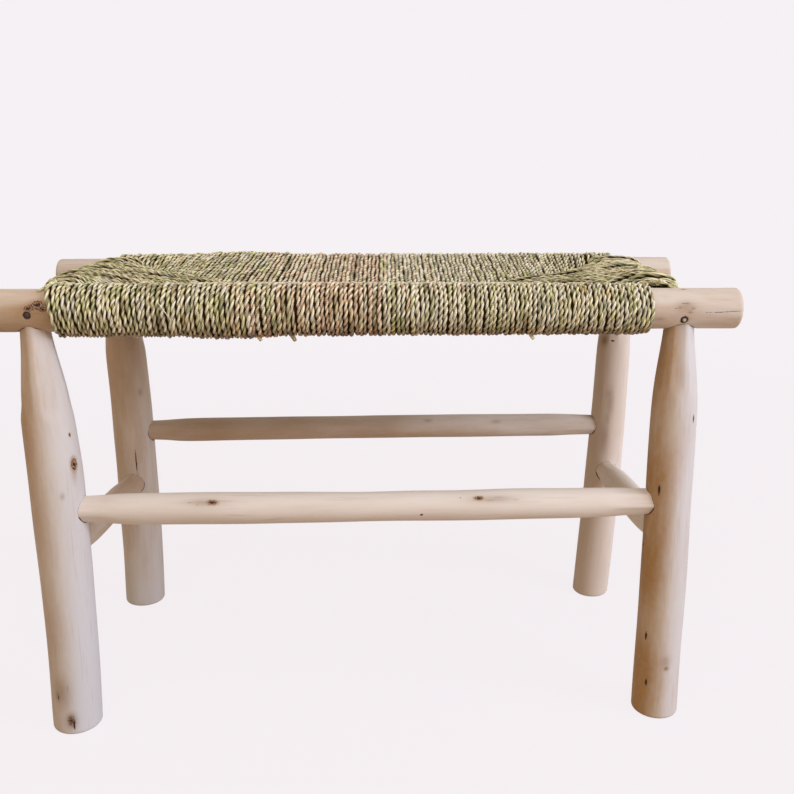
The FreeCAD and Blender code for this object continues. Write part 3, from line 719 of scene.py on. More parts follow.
def joint_place(points, guest):
    """Distance of each point from a guest pole's surface, in mm, and a fade towards the joint's top."""
    axis = axes[guest]
    places = points[..., axis.along]
    middles, radii = axis_at(axis, places)
    away = np.delete(points, axis.along, axis=-1) - middles
    gap = np.linalg.norm(away, axis=-1) - radii
    within = (places > axis.places[0] - END_MARGIN) & (places < axis.places[-1] + END_MARGIN)
    fade = JOINT_FADE * smooth_step(*JOINT_TOP, away[..., 1] / (gap + radii))
    if guest in PEGS or guest in LEGS:
        fade = np.full(gap.shape, 0.0 if guest in PEGS else JOINT_FADE / 2)
    thin = PEG_RING if guest in PEGS else 1
    return np.where(within, gap / MM / thin, FAR), fade


def nearest_joint(points, guests):
    """Vector of (distance in mm, fade, 0) from the nearest of the guests."""
    nearest = np.zeros(points.shape)
    nearest[..., 0] = FAR
    for guest in guests:
        gap, fade = joint_place(points, guest)
        nearer = np.abs(gap) < np.abs(nearest[..., 0])
        nearest[nearer, 0] = gap[nearer]
        nearest[nearer, 1] = fade[nearer]
    return nearest


# %% Build the poles
TAN_EDGE = (-0.5, 1.0)
TAN_UNEVEN = 0.3
TAN_LENGTHS = (65 * MM, 23 * MM)
HIDDEN_SPAN = (-250 * MM, 240 * MM)


def side_tints(rng, tint, places, angles):
    """Shares of tan on one side of a pole, uneven along it, of bleach on the rest, and of fresh wood."""
    span = (places[0], places[-1])
    facing = np.cos(angles - math.radians(tint.tan_degrees))
    slow, quick = [places / length for length in TAN_LENGTHS]
    uneven = 1 + TAN_UNEVEN * np.sin(slow + rng.uniform(0, ANY_PHASE)) * np.sin(quick)
    # Tan on one side: partly inner bark, partly painted shade of the side turned from the lamps
    side = smooth_step(*TAN_EDGE, facing)
    along = np.interp(places, span, tint.tan)
    tan = np.outer(along * uneven, side)
    covered = np.outer(np.minimum(along, 1), side)
    bleach = np.interp(places, span, tint.bleach)[:, None] * (1 - covered) ** 2
    return {"tan": tan, "bleach": bleach, "fresh": np.full(tan.shape, tint.fresh)}


def with_tips(values):
    """Values of a grid as one list, followed by those of its two tip points."""
    flat = values.reshape(-1, *values.shape[2:])
    return np.concatenate((flat, values[[0, -1], 0]))


def build_pole(name):
    """Pole piece: rows along the measured middle line, the radius shaped as wood, ends closed by fans."""
    shape, axis = SHAPES[name], axes[name]
    rng = np.random.default_rng(shape.seed)
    low, high = [corner[axis.along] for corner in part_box(name)]
    hidden = HIDDEN_SPAN if name in RAILS else ()
    places, inset, share = pole_rows(low, high, shape.step * MM, hidden, [edge * MM for edge in shape.edges])
    angles = np.linspace(0, 2 * math.pi, shape.columns, endpoint=False)
    _, radii = axis_at(axis, places)
    radius = radii[:, None] + swelling(rng, places, angles, shape.swell * MM)
    for start, stop, strength in shape.flats:
        radius = knife_flats(rng, radius, angles, strength * smooth_step(start * MM, stop * MM, places))
    points = pole_points(axis, places, angles, radius)
    values, relief = paint_marks(name, rng, points, places, angles, radius)
    values["joint"] = nearest_joint(points, received_by(name))
    relief -= JOINT_DEPTH * bell(values["joint"][..., 0] * MM, 0, JOINT_SPREAD)
    radius = (radius + relief - inset[:, None]) * share[:, None]
    points = pole_points(axis, places, angles, radius)
    values["grain"] = np.stack((np.broadcast_to(places[:, None] + shape.seed, radius.shape),
                                radius * np.cos(angles), radius * np.sin(angles)), -1)
    values["sawn"] = np.broadcast_to((share < 1)[:, None], radius.shape).astype(float)
    values.update(side_tints(rng, TINTS[name], places, angles))
    middles, _ = axis_at(axis, places[[0, -1]])
    tips = np.insert(middles, axis.along, places[[0, -1]], axis=-1)
    points = np.concatenate((points.reshape(-1, 3), tips))
    attributes = {label: with_tips(value) for label, value in values.items()}
    return add_piece(name + "_pole", points, capped_faces(*radius.shape), attributes, wood, name)


poles = [build_pole(name) for name in SHAPES]
print("pole triangles:", sum(2 * len(pole.data.polygons) for pole in poles))

# %% [markdown]
# ## Pegs
# A peg is a whittled stick driven through the rail into the leg's tenon, then
# cut off almost flush. It is a profile turned round its own axis: a straight
# shank and a head that domes a little. Split hardwood is streaked brown, and
# one of these pegs has weathered dark while the others stayed pale.

# %% Peg material
PEG_PALE = "#cdb49c"
PEG_DARK = "#3a2622"
PEG_STREAK = "#7d5b47"
PEG_GRAIN = 0.8 * MM

peg_wood, tree, shader = new_material("split_hardwood")
dark = add_node(tree, "ShaderNodeAttribute", {}, "Fac", attribute_name="dark")
place = add_node(tree, "ShaderNodeTexCoord", {}, "Object")
streaks = add_node(tree, "ShaderNodeTexNoise", {"Vector": place, "Scale": 1 / PEG_GRAIN, "Detail": 3})
colour = add_node(tree, "ShaderNodeMix", {0: dark, MIX_A: linear(PEG_PALE), MIX_B: linear(PEG_DARK)},
                  MIX_RESULT, data_type="RGBA")
share = add_node(tree, "ShaderNodeMapRange", {0: streaks, 1: 0.6, 2: 1.0})
colour = add_node(tree, "ShaderNodeMix", {0: share, MIX_A: colour, MIX_B: linear(PEG_STREAK)}, MIX_RESULT,
                  data_type="RGBA")
tree.links.new(colour, shader.inputs["Base Color"])
shader.inputs["Roughness"].default_value = 0.6
shader.inputs["IOR"].default_value = 1.5
bump = add_node(tree, "ShaderNodeBump", {"Height": streaks, "Strength": 0.3, "Distance": 0.3 * MM})
tree.links.new(bump, shader.inputs["Normal"])
print("peg nodes:", len(tree.nodes))

# %% Build the pegs
PEG_COLUMNS = 24
PEG_PROFILE = ((0, 0.75), (0.08, 1), (0.5, 1), (0.93, 1), (0.97, 0.96), (0.99, 0.8), (1.0, 0.45))
PEG_DARKNESS = {"front_left_peg": 1.0, "rear_left_peg": 0.5}
PALE_DARKNESS = 0.1
PEG_RIM = (0.3, 0.8)
THREE_SIDED, FIVE_SIDED = 0.05, 0.04


def build_peg(name):
    """Peg piece: rings along Y from tip to domed head, with a slightly uneven whittled section."""
    axis = axes[name]
    outward = -1 if axis.places.mean() < 0 else 1
    tip, head = axis.places[::outward]
    steps, shares = np.array(PEG_PROFILE).T
    angles = np.linspace(0, 2 * math.pi, PEG_COLUMNS, endpoint=False)
    rng = np.random.default_rng(len(name))
    phase = rng.uniform(0, ANY_PHASE)
    uneven = 1 + THREE_SIDED * np.cos(3 * angles + phase) - FIVE_SIDED * np.cos(5 * angles)
    rings = shares[:, None] * axis.radii[0] * uneven / uneven.max()
    places = tip + (head - tip) * steps
    tips = np.insert(axis.middles, 1, places[[0, -1]], axis=-1)
    points = np.concatenate((pole_points(axis, places, angles, rings).reshape(-1, 3), tips))
    rim = with_tips(np.repeat(smooth_step(*PEG_RIM, shares)[:, None], PEG_COLUMNS, axis=1))
    rim[-2:] = 0
    attributes = {"dark": np.maximum(PEG_DARKNESS.get(name, PALE_DARKNESS), rim)}
    return add_piece(name + "_whittled", points, capped_faces(*rings.shape), attributes, peg_wood,
                     name)


pegs = [build_peg(name) for name in PEGS]
print("pegs:", [peg.name for peg in pegs])

# %% [markdown]
# ## Palm cord
# The seat is hand-twisted cord of split palm leaf. Two plies of leaf strips are
# twisted round each other, so the eye sees slanted lozenges, each a glimpse of
# one ply. Leaf is waxy: it has a dull sheen, and its colour runs from straw to
# olive as it dried. The colour is an attribute painted per ply, with painted
# shade in the grooves, on the strands' sides and on the underside, and the shader
# adds the leaf strips that run along each ply. Real strips split finer than a
# millimetre; they are drawn about one millimetre wide so that they show.

# %% Cord material
STRIP_WIDTH = 1.1 * MM
STRIP_LENGTH = 11 * MM
BLOTCH_WIDTH = 2.4 * MM
LEAF_BLOTCH = "#a8946a"
LEAF_PALEST = "#faf5e2"

cord, tree, shader = new_material("twisted_palm_leaf")
leaf = add_node(tree, "ShaderNodeAttribute", {}, "Color", attribute_name="leaf")
ply = add_node(tree, "ShaderNodeAttribute", {}, "Vector", attribute_name="ply")
patterns = []
for width in (STRIP_WIDTH, BLOTCH_WIDTH):
    scales = (1 / STRIP_LENGTH, 1 / width, 1 / width)
    place = add_node(tree, "ShaderNodeVectorMath", {0: ply, 1: scales}, operation="MULTIPLY")
    patterns.append(add_node(tree, "ShaderNodeTexNoise", {"Vector": place, "Scale": 1, "Detail": 3}))
strips, blotches = patterns
light = add_node(tree, "ShaderNodeMapRange", {0: strips, 1: 0.36, 2: 0.64, 3: 0.38, 4: 1.85})
streaked = add_node(tree, "ShaderNodeVectorMath", {0: leaf, "Scale": light}, operation="SCALE")
share = add_node(tree, "ShaderNodeMapRange", {0: blotches, 1: 0.62, 2: 0.9})
blotch = add_node(tree, "ShaderNodeMix", {0: share, MIX_A: (1, 1, 1, 1), MIX_B: linear(LEAF_BLOTCH)},
                  MIX_RESULT, data_type="RGBA")
blotched = add_node(tree, "ShaderNodeVectorMath", {0: streaked, 1: blotch}, operation="MULTIPLY")
colour = add_node(tree, "ShaderNodeVectorMath", {0: blotched, 1: linear(LEAF_PALEST)[:3]},
                  operation="MINIMUM")
tree.links.new(colour, shader.inputs["Base Color"])
shader.inputs["Roughness"].default_value = 0.42
shader.inputs["IOR"].default_value = 1.45
bump = add_node(tree, "ShaderNodeBump", {"Height": strips, "Strength": 0.5, "Distance": 0.4 * MM})
tree.links.new(bump, shader.inputs["Normal"])
print("cord nodes:", len(tree.nodes))

# %% Shade sheet material
# A near-black, matt sheet inside the strands that paints the shade in the gaps between them, so the gaps
# look deep
SHADE_SHEET_COLOUR = "#352813"
SHEET_NOISE_SIZE = 4 * MM

shade_sheet, tree, shader = new_material("painted_shade_sheet")
place = add_node(tree, "ShaderNodeTexCoord", {}, "Object")
sheet_noise = add_node(tree, "ShaderNodeTexNoise", {"Vector": place, "Scale": 1 / SHEET_NOISE_SIZE, "Detail": 3})
light = add_node(tree, "ShaderNodeMapRange", {0: sheet_noise, 1: NOISE_LOW, 2: NOISE_HIGH, 3: 0.5, 4: 1.3})
colour = add_node(tree, "ShaderNodeVectorMath", {0: linear(SHADE_SHEET_COLOUR)[:3], "Scale": light}, operation="SCALE")
tree.links.new(colour, shader.inputs["Base Color"])
shader.inputs["Roughness"].default_value = 0.95
shader.inputs["Specular IOR Level"].default_value = 0.1
print("stuffing nodes:", len(tree.nodes))

# %% [markdown]
# ## One turn of cord
# Seen along its rail, a turn of cord is a belt round two pulleys: the rail, and
# the small bend where the cord dives at a seam. With pulley radii a and b and
# their middles d apart, the belt leaves both at the angle acos((a - b) / d) from
# the line between them. Where a seam is close to the rail the belt is just a
# ring. All turns of a section are worked out together, one row of an array each.

# %% Belt loops
CORD_RADIUS = 2.5 * MM
CORD_STAND = 3.2 * MM
SEAM_TURN = 6.2 * MM
UNDER_WEIGHT = 0.4
LEAST_REACH = 1 * MM
TINY = 1e-9


def belt_loops(rings, reaches, drop, count):
    """Closed belts: plane coordinates (out to the seam, up) and the length run, for count points each.

    The order is the bend at the seam, the top run, the arc round the rail and the under run. Points
    are spaced evenly, but further apart on the under run.
    """
    bend = SEAM_TURN
    out = np.maximum(reaches - bend, LEAST_REACH)
    gap = np.hypot(out, drop)
    tilt = np.arctan2(drop, out)
    lift = np.arccos(np.clip((rings - bend) / gap, -1, 1))
    run = np.sqrt(np.maximum(gap ** 2 - (rings - bend) ** 2, 0))
    lengths = np.stack((2 * lift * bend, run, (2 * math.pi - 2 * lift) * rings, run))
    weights = np.array((1, 1, 1, UNDER_WEIGHT))[:, None]
    ends = np.cumsum(lengths * weights, axis=0)
    walk = np.arange(count) / count * ends[-1][:, None]
    parts = [np.clip((walk - (end - length * weight)[:, None]) / weight, 0, length[:, None])
             for end, length, weight in zip(ends, lengths, weights[:, 0])]
    ring, far, tilt, lift, run = [value[:, None] for value in (rings, out, tilt, lift, run)]
    high, low = tilt + lift, tilt - lift
    top_share = parts[1] / np.maximum(run, TINY)
    under_share = parts[3] / np.maximum(run, TINY)
    bend_angle = low + parts[0] / bend
    arc_angle = high + parts[2] / ring

    def point(angle, share):
        """Point at an angle on the bend (share 1), on the ring (share 0) or on the run between them."""
        radius = ring + (bend - ring) * share
        return np.stack((far * share + radius * np.cos(angle), drop * share + radius * np.sin(angle)), -1)

    stage = (walk[..., None] > ends.T[:, None, :3]).sum(axis=-1)[..., None]
    places = np.select([stage == 0, stage == 1, stage == 2],
                       [point(bend_angle, 1), point(high, 1 - top_share), point(arc_angle, 0)],
                       point(low, under_share))
    return places, sum(parts), lengths.sum(axis=0)


# %% [markdown]
# ## Twisting the strand
# The section of a two-ply cord is two overlapping circles of radius a whose
# middles lie d either side of the axis, so its edge is at d|cos p| +
# sqrt(a^2 - d^2 sin^2 p). The ring of points turns as it goes along, one full
# turn in each pitch, and so every row of points follows a ply. A right-hand turn
# gives lozenges that lean like a slash. Tight cord is rounder (d is 0.7 of a), and
# slack cord shows its two plies more (d is near a). A strand isn't even: its
# pitch, its twist, its thickness and each ply's swelling wander a little.

# %% Twisted strands
TWIST_PITCH = 18 * MM
PITCH_SPREAD = (0.82, 1.2)
TWIST_WAVE = (60 * MM, 0.5)
PLY_WAVE = (38 * MM, 0.09)
THICKNESS_SPREAD, THICKNESS_LIMITS = 0.07, (0.82, 1.14)
TIGHT_OFFSET, SLACK_OFFSET = 0.7, 0.93
STRAND_COLUMNS = 14
TALL = 1.12

# All strands of a section: middle lines, the length run along them, full lengths, how far each point is
# on the underside (for its painted shade), thicknesses, offsets of the plies, narrowness of the lit crown
# (outside it the sides get painted shade), and leaf colours
Turns = namedtuple("Turns", "centres run lengths under widths offsets crowns mixes")


def strand_ways(centres, rail_way):
    """Two directions at every point of closed loops: out of the wrap, and sideways along the rail."""
    forward = unit(np.roll(centres, -1, axis=1) - np.roll(centres, 1, axis=1))
    outward = unit(np.cross(rail_way, forward))
    return outward, np.cross(forward, outward)


def closed_waves(rng, share, lengths, wave, size):
    """Waves along each strand whose number is whole, so that they close with its loop."""
    cycles = np.maximum(np.round(lengths / wave), 1)[:, None]
    return size * np.sin(2 * math.pi * (cycles * share + rng.uniform(0, 1, (len(lengths), 1))))


def strand_points(turns, rail_way, share, rng):
    """Surface of twisted strands: a two-lobed ring of points that turns with the length run.

    Each ply swells and thins along its length by a wave of its own, and the twist runs a little
    ahead and behind. Returns the points, the angle of each from the outward side, and the lobes.
    """
    lengths = turns.lengths
    outward, sideways = strand_ways(turns.centres, rail_way)
    pitch = TWIST_PITCH * np.sqrt(turns.widths) * rng.uniform(*PITCH_SPREAD, len(lengths))
    rounds = np.round(lengths / pitch)[:, None]
    twist = 2 * math.pi * (rounds * share + rng.uniform(0, 1, (len(lengths), 1)))
    twist += closed_waves(rng, share, lengths, *TWIST_WAVE)
    lobe = np.linspace(0, 2 * math.pi, STRAND_COLUMNS, endpoint=False)
    offset = turns.offsets[:, None, None]
    edge = offset * np.abs(np.cos(lobe)) + np.sqrt(1 - (offset * np.sin(lobe)) ** 2)
    edge = edge * CORD_RADIUS / (1 + offset)
    plump = [1 + closed_waves(rng, share, lengths, *PLY_WAVE)[..., None] for _ in range(2)]
    first = (1 + np.cos(lobe)) / 2
    thickness = turns.widths * rng.normal(1, THICKNESS_SPREAD, len(lengths)).clip(*THICKNESS_LIMITS)
    size = thickness[:, None, None] * edge * (plump[0] * first + plump[1] * (1 - first))
    angle = twist[..., None] + lobe
    surface = (turns.centres[:, :, None] + outward[:, :, None] * (TALL * size * np.cos(angle))[..., None]
               + sideways[:, :, None] * (size * np.sin(angle))[..., None])
    return surface, angle, lobe


# %% Colour of the strands
PLY_COLOURS = 18
SAME_PLY = 0.75
PLY_SPREAD, STRAND_SPREAD = 0.25, 0.06
PLY_BLEND = (0.3, 0.7)
# Painted shade: a browner underside, a darker groove between the plies and darker strand sides outside the
# lit crown, browner where darker
UNDER_SHADE_TINT = np.array((0.5, 0.38, 0.26))
GROOVE_SHADE = 0.24
SIDE_SHADE = 0.2
CROWN_EDGE = 0.8
SHADE_POWERS = (1, 1.1, 1.4)


def ply_colours(turns, share, angle, lobe, rng):
    """Leaf colour of each point: a colour for every stretch of each ply, drawn from its strand's mix.

    Stretches run into each other smoothly. Shade is painted into the colour: the groove between the
    plies, the sides of the strand outside its lit crown and the underside of the rail are darker and
    browner.
    """
    strands = len(turns.mixes)
    draw = rng.uniform(size=(strands, 2, PLY_COLOURS))
    draw[:, 1] = np.where(rng.uniform(size=(strands, PLY_COLOURS)) < SAME_PLY, draw[:, 0], draw[:, 1])
    kind = (draw[..., None] > np.cumsum(turns.mixes, axis=1)[:, None, None, :-1]).sum(axis=-1)
    shade = rng.normal(0, PLY_SPREAD, kind.shape) + rng.normal(0, STRAND_SPREAD, (strands, 1, 1))
    palette = LEAF_COLOURS[kind] * np.exp(shade)[..., None]
    place = share * PLY_COLOURS
    first = place.astype(int) % PLY_COLOURS
    second = (first + 1) % PLY_COLOURS
    blend = smooth_step(*PLY_BLEND, place % 1)[..., None]
    row = np.arange(strands)[:, None]
    # Painted shade: the underside of the rail is made darker and browner
    tint = 1 + (UNDER_SHADE_TINT - 1) * turns.under[..., None]
    plies = [tint * (palette[row, number, first] * (1 - blend) + palette[row, number, second] * blend)
             for number in (0, 1)]
    # Painted shade in the groove between the plies and on the sides of the strand outside its lit crown
    deepest = GROOVE_SHADE * ((1 - turns.offsets) / (1 - TIGHT_OFFSET))[:, None, None]
    groove = deepest + (1 - deepest) * np.abs(np.cos(lobe))
    crown = turns.crowns[..., None]
    darkest = SIDE_SHADE * (1 - crown)
    lit = smooth_step(crown, CROWN_EDGE + (1 - CROWN_EDGE) * crown, np.cos(angle))
    side = darkest + (1 - darkest) * lit
    dark = np.stack([(side * groove) ** power for power in SHADE_POWERS], -1)
    other_ply = (np.cos(lobe) < 0)[:, None]
    colour = np.clip(np.where(other_ply, plies[1][:, :, None], plies[0][:, :, None]) * dark, 0, 1)
    return np.concatenate((colour, np.ones((*colour.shape[:-1], 1))), axis=-1)


# %% Strand pieces
SHADE_SHEET_DEPTHS = (0.6 * MM, 1.8 * MM)
SHADE_SHEET_STEP = 2


def add_shade_sheet(name, node, turns, rail_way):
    """Painted shade inside the strands: a thin, near-black closed shell just within all their middle lines.
    """
    outward, _ = strand_ways(turns.centres, rail_way)
    outer, inner = [(turns.centres - depth * outward)[:, ::SHADE_SHEET_STEP] for depth in SHADE_SHEET_DEPTHS]
    shell = np.concatenate((outer, inner[::-1]))
    faces = grid_faces(*shell.shape[:2], closed_rows=True)
    return add_piece(name, shell.reshape(-1, 3), [faces], {}, shade_sheet, node)


def add_strands(name, node, turns, rail_way, seed):
    """Piece of many closed strands that stands for a seat section, or a share of one."""
    rng = np.random.default_rng(seed)
    share = turns.run / turns.lengths[:, None]
    surface, angle, lobe = strand_points(turns, rail_way, share, rng)
    colour = ply_colours(turns, share, angle, lobe, rng)
    strands, count, columns, _ = surface.shape
    one = grid_faces(count, columns, closed_rows=True)
    quads = (np.arange(strands)[:, None, None] * count * columns + one).reshape(-1, 4)
    ply = np.stack(np.broadcast_arrays(turns.run[..., None] + np.arange(strands)[:, None, None],
                                       np.cos(lobe) * CORD_RADIUS, np.sin(lobe) * CORD_RADIUS), -1)
    # The leaf colour holds the painted shade of grooves, sides and underside
    attributes = {"leaf": colour, "ply": ply}
    return add_piece(name, surface.reshape(-1, 3), [quads], attributes, cord, node)


# %% [markdown]
# ## The colours of the cord
# A maker works with one bundle of leaf after another, so the seat has bands:
# green at the left, rose tan, green again, then a greyer olive. The bands are
# mixed from a few leaf colours by the place along the bench.

# %% Leaf colours
LEAF = {"pale": "#fdf8e4", "straw": "#f2eac6", "olive": "#d3d3a4", "sage": "#dcdac0",
        "rose": "#f5dac1", "umber": "#b8a985"}
LEAF_COLOURS = np.array([linear(colour)[:3] for colour in LEAF.values()])
BAND_SPREAD = 6 * MM
BANDS = (
    (-0.29, {"pale": 0.24, "straw": 0.34, "olive": 0.38, "umber": 0.04}),
    (-0.14, {"pale": 0.28, "straw": 0.24, "olive": 0.34, "sage": 0.10, "umber": 0.04}),
    (-0.10, {"pale": 0.22, "straw": 0.28, "olive": 0.15, "rose": 0.30, "umber": 0.05}),
    (-0.05, {"pale": 0.20, "straw": 0.20, "rose": 0.55, "umber": 0.05}),
    (-0.04, {"pale": 0.12, "straw": 0.05, "rose": 0.78, "umber": 0.05}),
    (0.015, {"pale": 0.12, "straw": 0.05, "rose": 0.75, "umber": 0.08}),
    (0.03, {"pale": 0.28, "straw": 0.20, "olive": 0.42, "sage": 0.10}),
    (0.06, {"pale": 0.80, "straw": 0.08, "sage": 0.02, "rose": 0.10}),
    (0.12, {"pale": 0.34, "straw": 0.16, "olive": 0.16, "sage": 0.30, "umber": 0.04}),
    (0.30, {"pale": 0.28, "straw": 0.18, "olive": 0.24, "sage": 0.26, "umber": 0.04}))
print("leaf colours:", list(LEAF), "bands:", len(BANDS))


def leaf_mixes(places, rng):
    """Share of each leaf colour in each strand, from the bands either side of its place."""
    shares = np.array([[mix.get(name, 0) for name in LEAF] for _, mix in BANDS])
    stops = [stop for stop, _ in BANDS]
    shifted = places + rng.normal(0, BAND_SPREAD, len(places))
    return np.stack([np.interp(shifted, stops, shares[:, kind]) for kind in range(len(LEAF))], -1)


# %% [markdown]
# ## Front and rear sections
# Cord is wound side by side along each long rail. A strand near a corner meets
# the slanting seam early, and the strands of the middle all reach the seam that
# runs down the bench. The seam's place is taken from the CAD sections: their
# corners along the rail, and the tips of the two wedges.

# %% Measures of the front and rear strands
front_low, front_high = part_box("front_seat_weave")
rear_low, rear_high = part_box("rear_seat_weave")
left_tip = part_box("left_seat_weave")[1].x
right_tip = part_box("right_seat_weave")[0].x
HALF_DEPTH = axes["rear_rail"].middles[:, 0].mean()
PITCH_STOPS = (-0.16, -0.13, -0.08, -0.03, 0.08, 0.12)
FRONT_PITCHES = (4.25, 4.6, 4.6, 4.35, 4.3, 4.0)
REAR_PITCHES = (4.7, 4.7, 4.7, 4.6, 4.5, 4.5)
FULL_PITCH = 4.6

Wrap = namedtuple("Wrap", "side pitches left right left_lean right_lean lean_fade skew hump belly")
FRONT_WRAP = Wrap("front", FRONT_PITCHES, front_low.x + 6 * MM, front_high.x + 1 * MM, left_lean=-9 * MM,
                  right_lean=-1 * MM, lean_fade=110 * MM, skew=0, hump=0, belly=2.2 * MM)
REAR_WRAP = Wrap("rear", REAR_PITCHES, rear_low.x, rear_high.x - 1 * MM, left_lean=-8 * MM,
                 right_lean=7 * MM, lean_fade=40 * MM, skew=17 * MM, hump=3 * MM, belly=0)
SKEW_PLACE, SKEW_SPREAD = -0.165, 0.075
HUMP_PLACE, HUMP_SPREAD = -0.145, 0.055
BELLY_PLACE, BELLY_SPREAD = -0.12, 0.04
print("wedge tips in mm:", round(left_tip / MM), "and", round(right_tip / MM))

# %% Front and rear strands
SPLIT = 4
LONG_POINTS = 144
FINE_STEPS = 400
PLACE_SPREAD, STAND_SPREAD = 0.3 * MM, 0.25 * MM
LONG_SWAY = (48 * MM, 0.55 * MM)
LONG_LIFT = (45 * MM, 0.3 * MM)
UNDERSIDE_SHADE_SPAN = (0.4, 0.95)
DECK_EDGE = (2 * MM, 14 * MM)
# Where the painted side shade of each strand ends, on the wrap, the deck and the wedges: the higher, the
# narrower the lit crown
WRAP_CROWN, DECK_CROWN, END_CROWN = 0.05, 0.35, 0.0


def strand_places(wrap, rng):
    """Places of strands side by side: as many as the local pitch allows, each a little off its mark."""
    fine = np.linspace(wrap.left, wrap.right, FINE_STEPS)
    pitch = np.interp(fine, PITCH_STOPS, wrap.pitches) * MM
    passed = np.concatenate(([0], np.cumsum(np.diff(fine) / (pitch[1:] + pitch[:-1]) * 2)))
    count = int(passed[-1])
    places = np.interp((np.arange(count) + 0.5) * passed[-1] / count, passed, fine)
    widths = np.interp(places, PITCH_STOPS, wrap.pitches) / FULL_PITCH
    return places + rng.normal(0, PLACE_SPREAD, count), widths


def build_long_section(wrap, seed):
    """Front or rear strands, from the leg at one end of the wrap to the leg at the other.

    Near the ends the strands lean, with their tops further out. Some rear strands run skew, so
    that they meet the seam further left than they leave the rail.
    """
    rng = np.random.default_rng(seed)
    inward = 1 if wrap.side == "front" else -1
    places, widths = strand_places(wrap, rng)
    middles, radii = axis_at(axes[f"{wrap.side}_rail"], places)
    skew = wrap.skew * bell(places, SKEW_PLACE, SKEW_SPREAD)
    met = places - skew
    left_share = (met - wrap.left) / (left_tip - wrap.left)
    right_share = (wrap.right - met) / (wrap.right - right_tip)
    reaches = np.clip(np.minimum(left_share, right_share), 0, 1) * HALF_DEPTH
    stand = CORD_STAND + rng.normal(0, STAND_SPREAD, len(places))
    rings = radii + stand + wrap.hump * bell(places, HUMP_PLACE, HUMP_SPREAD)
    loops, run, lengths = belt_loops(rings, reaches, 0.0, LONG_POINTS)
    across, up = loops[..., 0], loops[..., 1]
    height = up / rings[:, None]
    lean = (wrap.left_lean * np.clip(1 - (places - wrap.left) / wrap.lean_fade, 0, 1)
            + wrap.right_lean * np.clip(1 - (wrap.right - places) / wrap.lean_fade, 0, 1))
    share = run / lengths[:, None]
    sway = closed_waves(rng, share, lengths, *LONG_SWAY)
    x = places[:, None] + lean[:, None] * (0.5 + height / 2) + sway
    x = x - skew[:, None] * np.clip(across / np.maximum(reaches, LEAST_REACH)[:, None], 0, 1)
    lift = closed_waves(rng, share, lengths, *LONG_LIFT)
    lift = lift - (wrap.belly * bell(places, BELLY_PLACE, BELLY_SPREAD))[:, None] * np.clip(-height, 0, 1)
    centres = np.stack((x, middles[:, :1] + inward * across, middles[:, 1:] + up + lift), -1)
    # How far each point is on the underside, which gets painted shade
    under = smooth_step(*UNDERSIDE_SHADE_SPAN, -height)
    offsets = np.full(len(places), TIGHT_OFFSET)
    on_deck = smooth_step(*DECK_EDGE, across) * (up > 0)
    crowns = WRAP_CROWN + (DECK_CROWN - WRAP_CROWN) * on_deck
    turns = Turns(centres, run, lengths, under, widths, offsets, crowns, leaf_mixes(places, rng))
    rail_way = (-inward, 0, 0)
    node = f"{wrap.side}_seat_weave"
    # A near-black sheet inside the strands paints the shade in the gaps between them
    pieces = [add_shade_sheet(f"{wrap.side}_stuffing", node, turns, rail_way)]
    for number, rows in enumerate(np.array_split(np.arange(len(places)), SPLIT), start=1):
        some = Turns(*[values[rows] for values in turns])
        pieces.append(add_strands(f"{wrap.side}_cord_{number}", node, some, rail_way, seed + number))
    print(wrap.side, "strands:", len(places), "longest in mm:", round(lengths.max() / MM))
    return pieces


seat = build_long_section(FRONT_WRAP, 100)
seat += build_long_section(REAR_WRAP, 200)

# %% [markdown]
# ## End sections
# The two ends are wound on the short end rails. Their strands run along the
# bench to the slanting seams. They are slacker than the others, so some stand
# proud of their neighbours, and seen from low in front these hide the rest. Next
# to a long rail there is no room for a full turn, so a strand there is pushed out
# from the wrapped rail: its distance from the rail's middle line is never less
# than the rail, its cord and half a strand.

# %% End strands
END_POINTS = 120
END_PITCH = 4.6 * MM
END_WIDTH = 0.8
END_SQUARE = 0.4
END_REACH = 15 * MM
END_PROUD, FEW_PROUD = 4.2 * MM, 3
END_SPREAD = 0.5 * MM
END_SWAY = (60 * MM, 0.6 * MM)
END_LIFT = (50 * MM, 0.8 * MM)
NESTLE = 0.6
WRAP_THICK = 5.6 * MM
TIP_EXTRA = 9 * MM
END_SINK = 2.5 * MM
END_MIX = {"pale": 0.12, "straw": 0.30, "olive": 0.46, "umber": 0.12}
LEFT_FAN = (0.4, 0.9, 1.0)
RIGHT_FAN = (0.9, 1.3, 1.5)


def clear_of_rails(centres):
    """Move points that lie inside a wrapped long rail straight away from its middle line."""
    for rail in RAILS:
        middles, radii = axis_at(axes[rail], centres[..., 0])
        away = centres[..., 1:] - middles
        distance = np.linalg.norm(away, axis=-1)
        wrapped = (centres[..., 0] > front_low.x) & (centres[..., 0] < rear_high.x)
        least = radii + np.where(wrapped, WRAP_THICK, 0) + NESTLE * CORD_RADIUS
        factor = np.where(distance < least, least / np.maximum(distance, TINY), 1)
        centres[..., 1:] = middles + away * factor[..., None]
    return centres


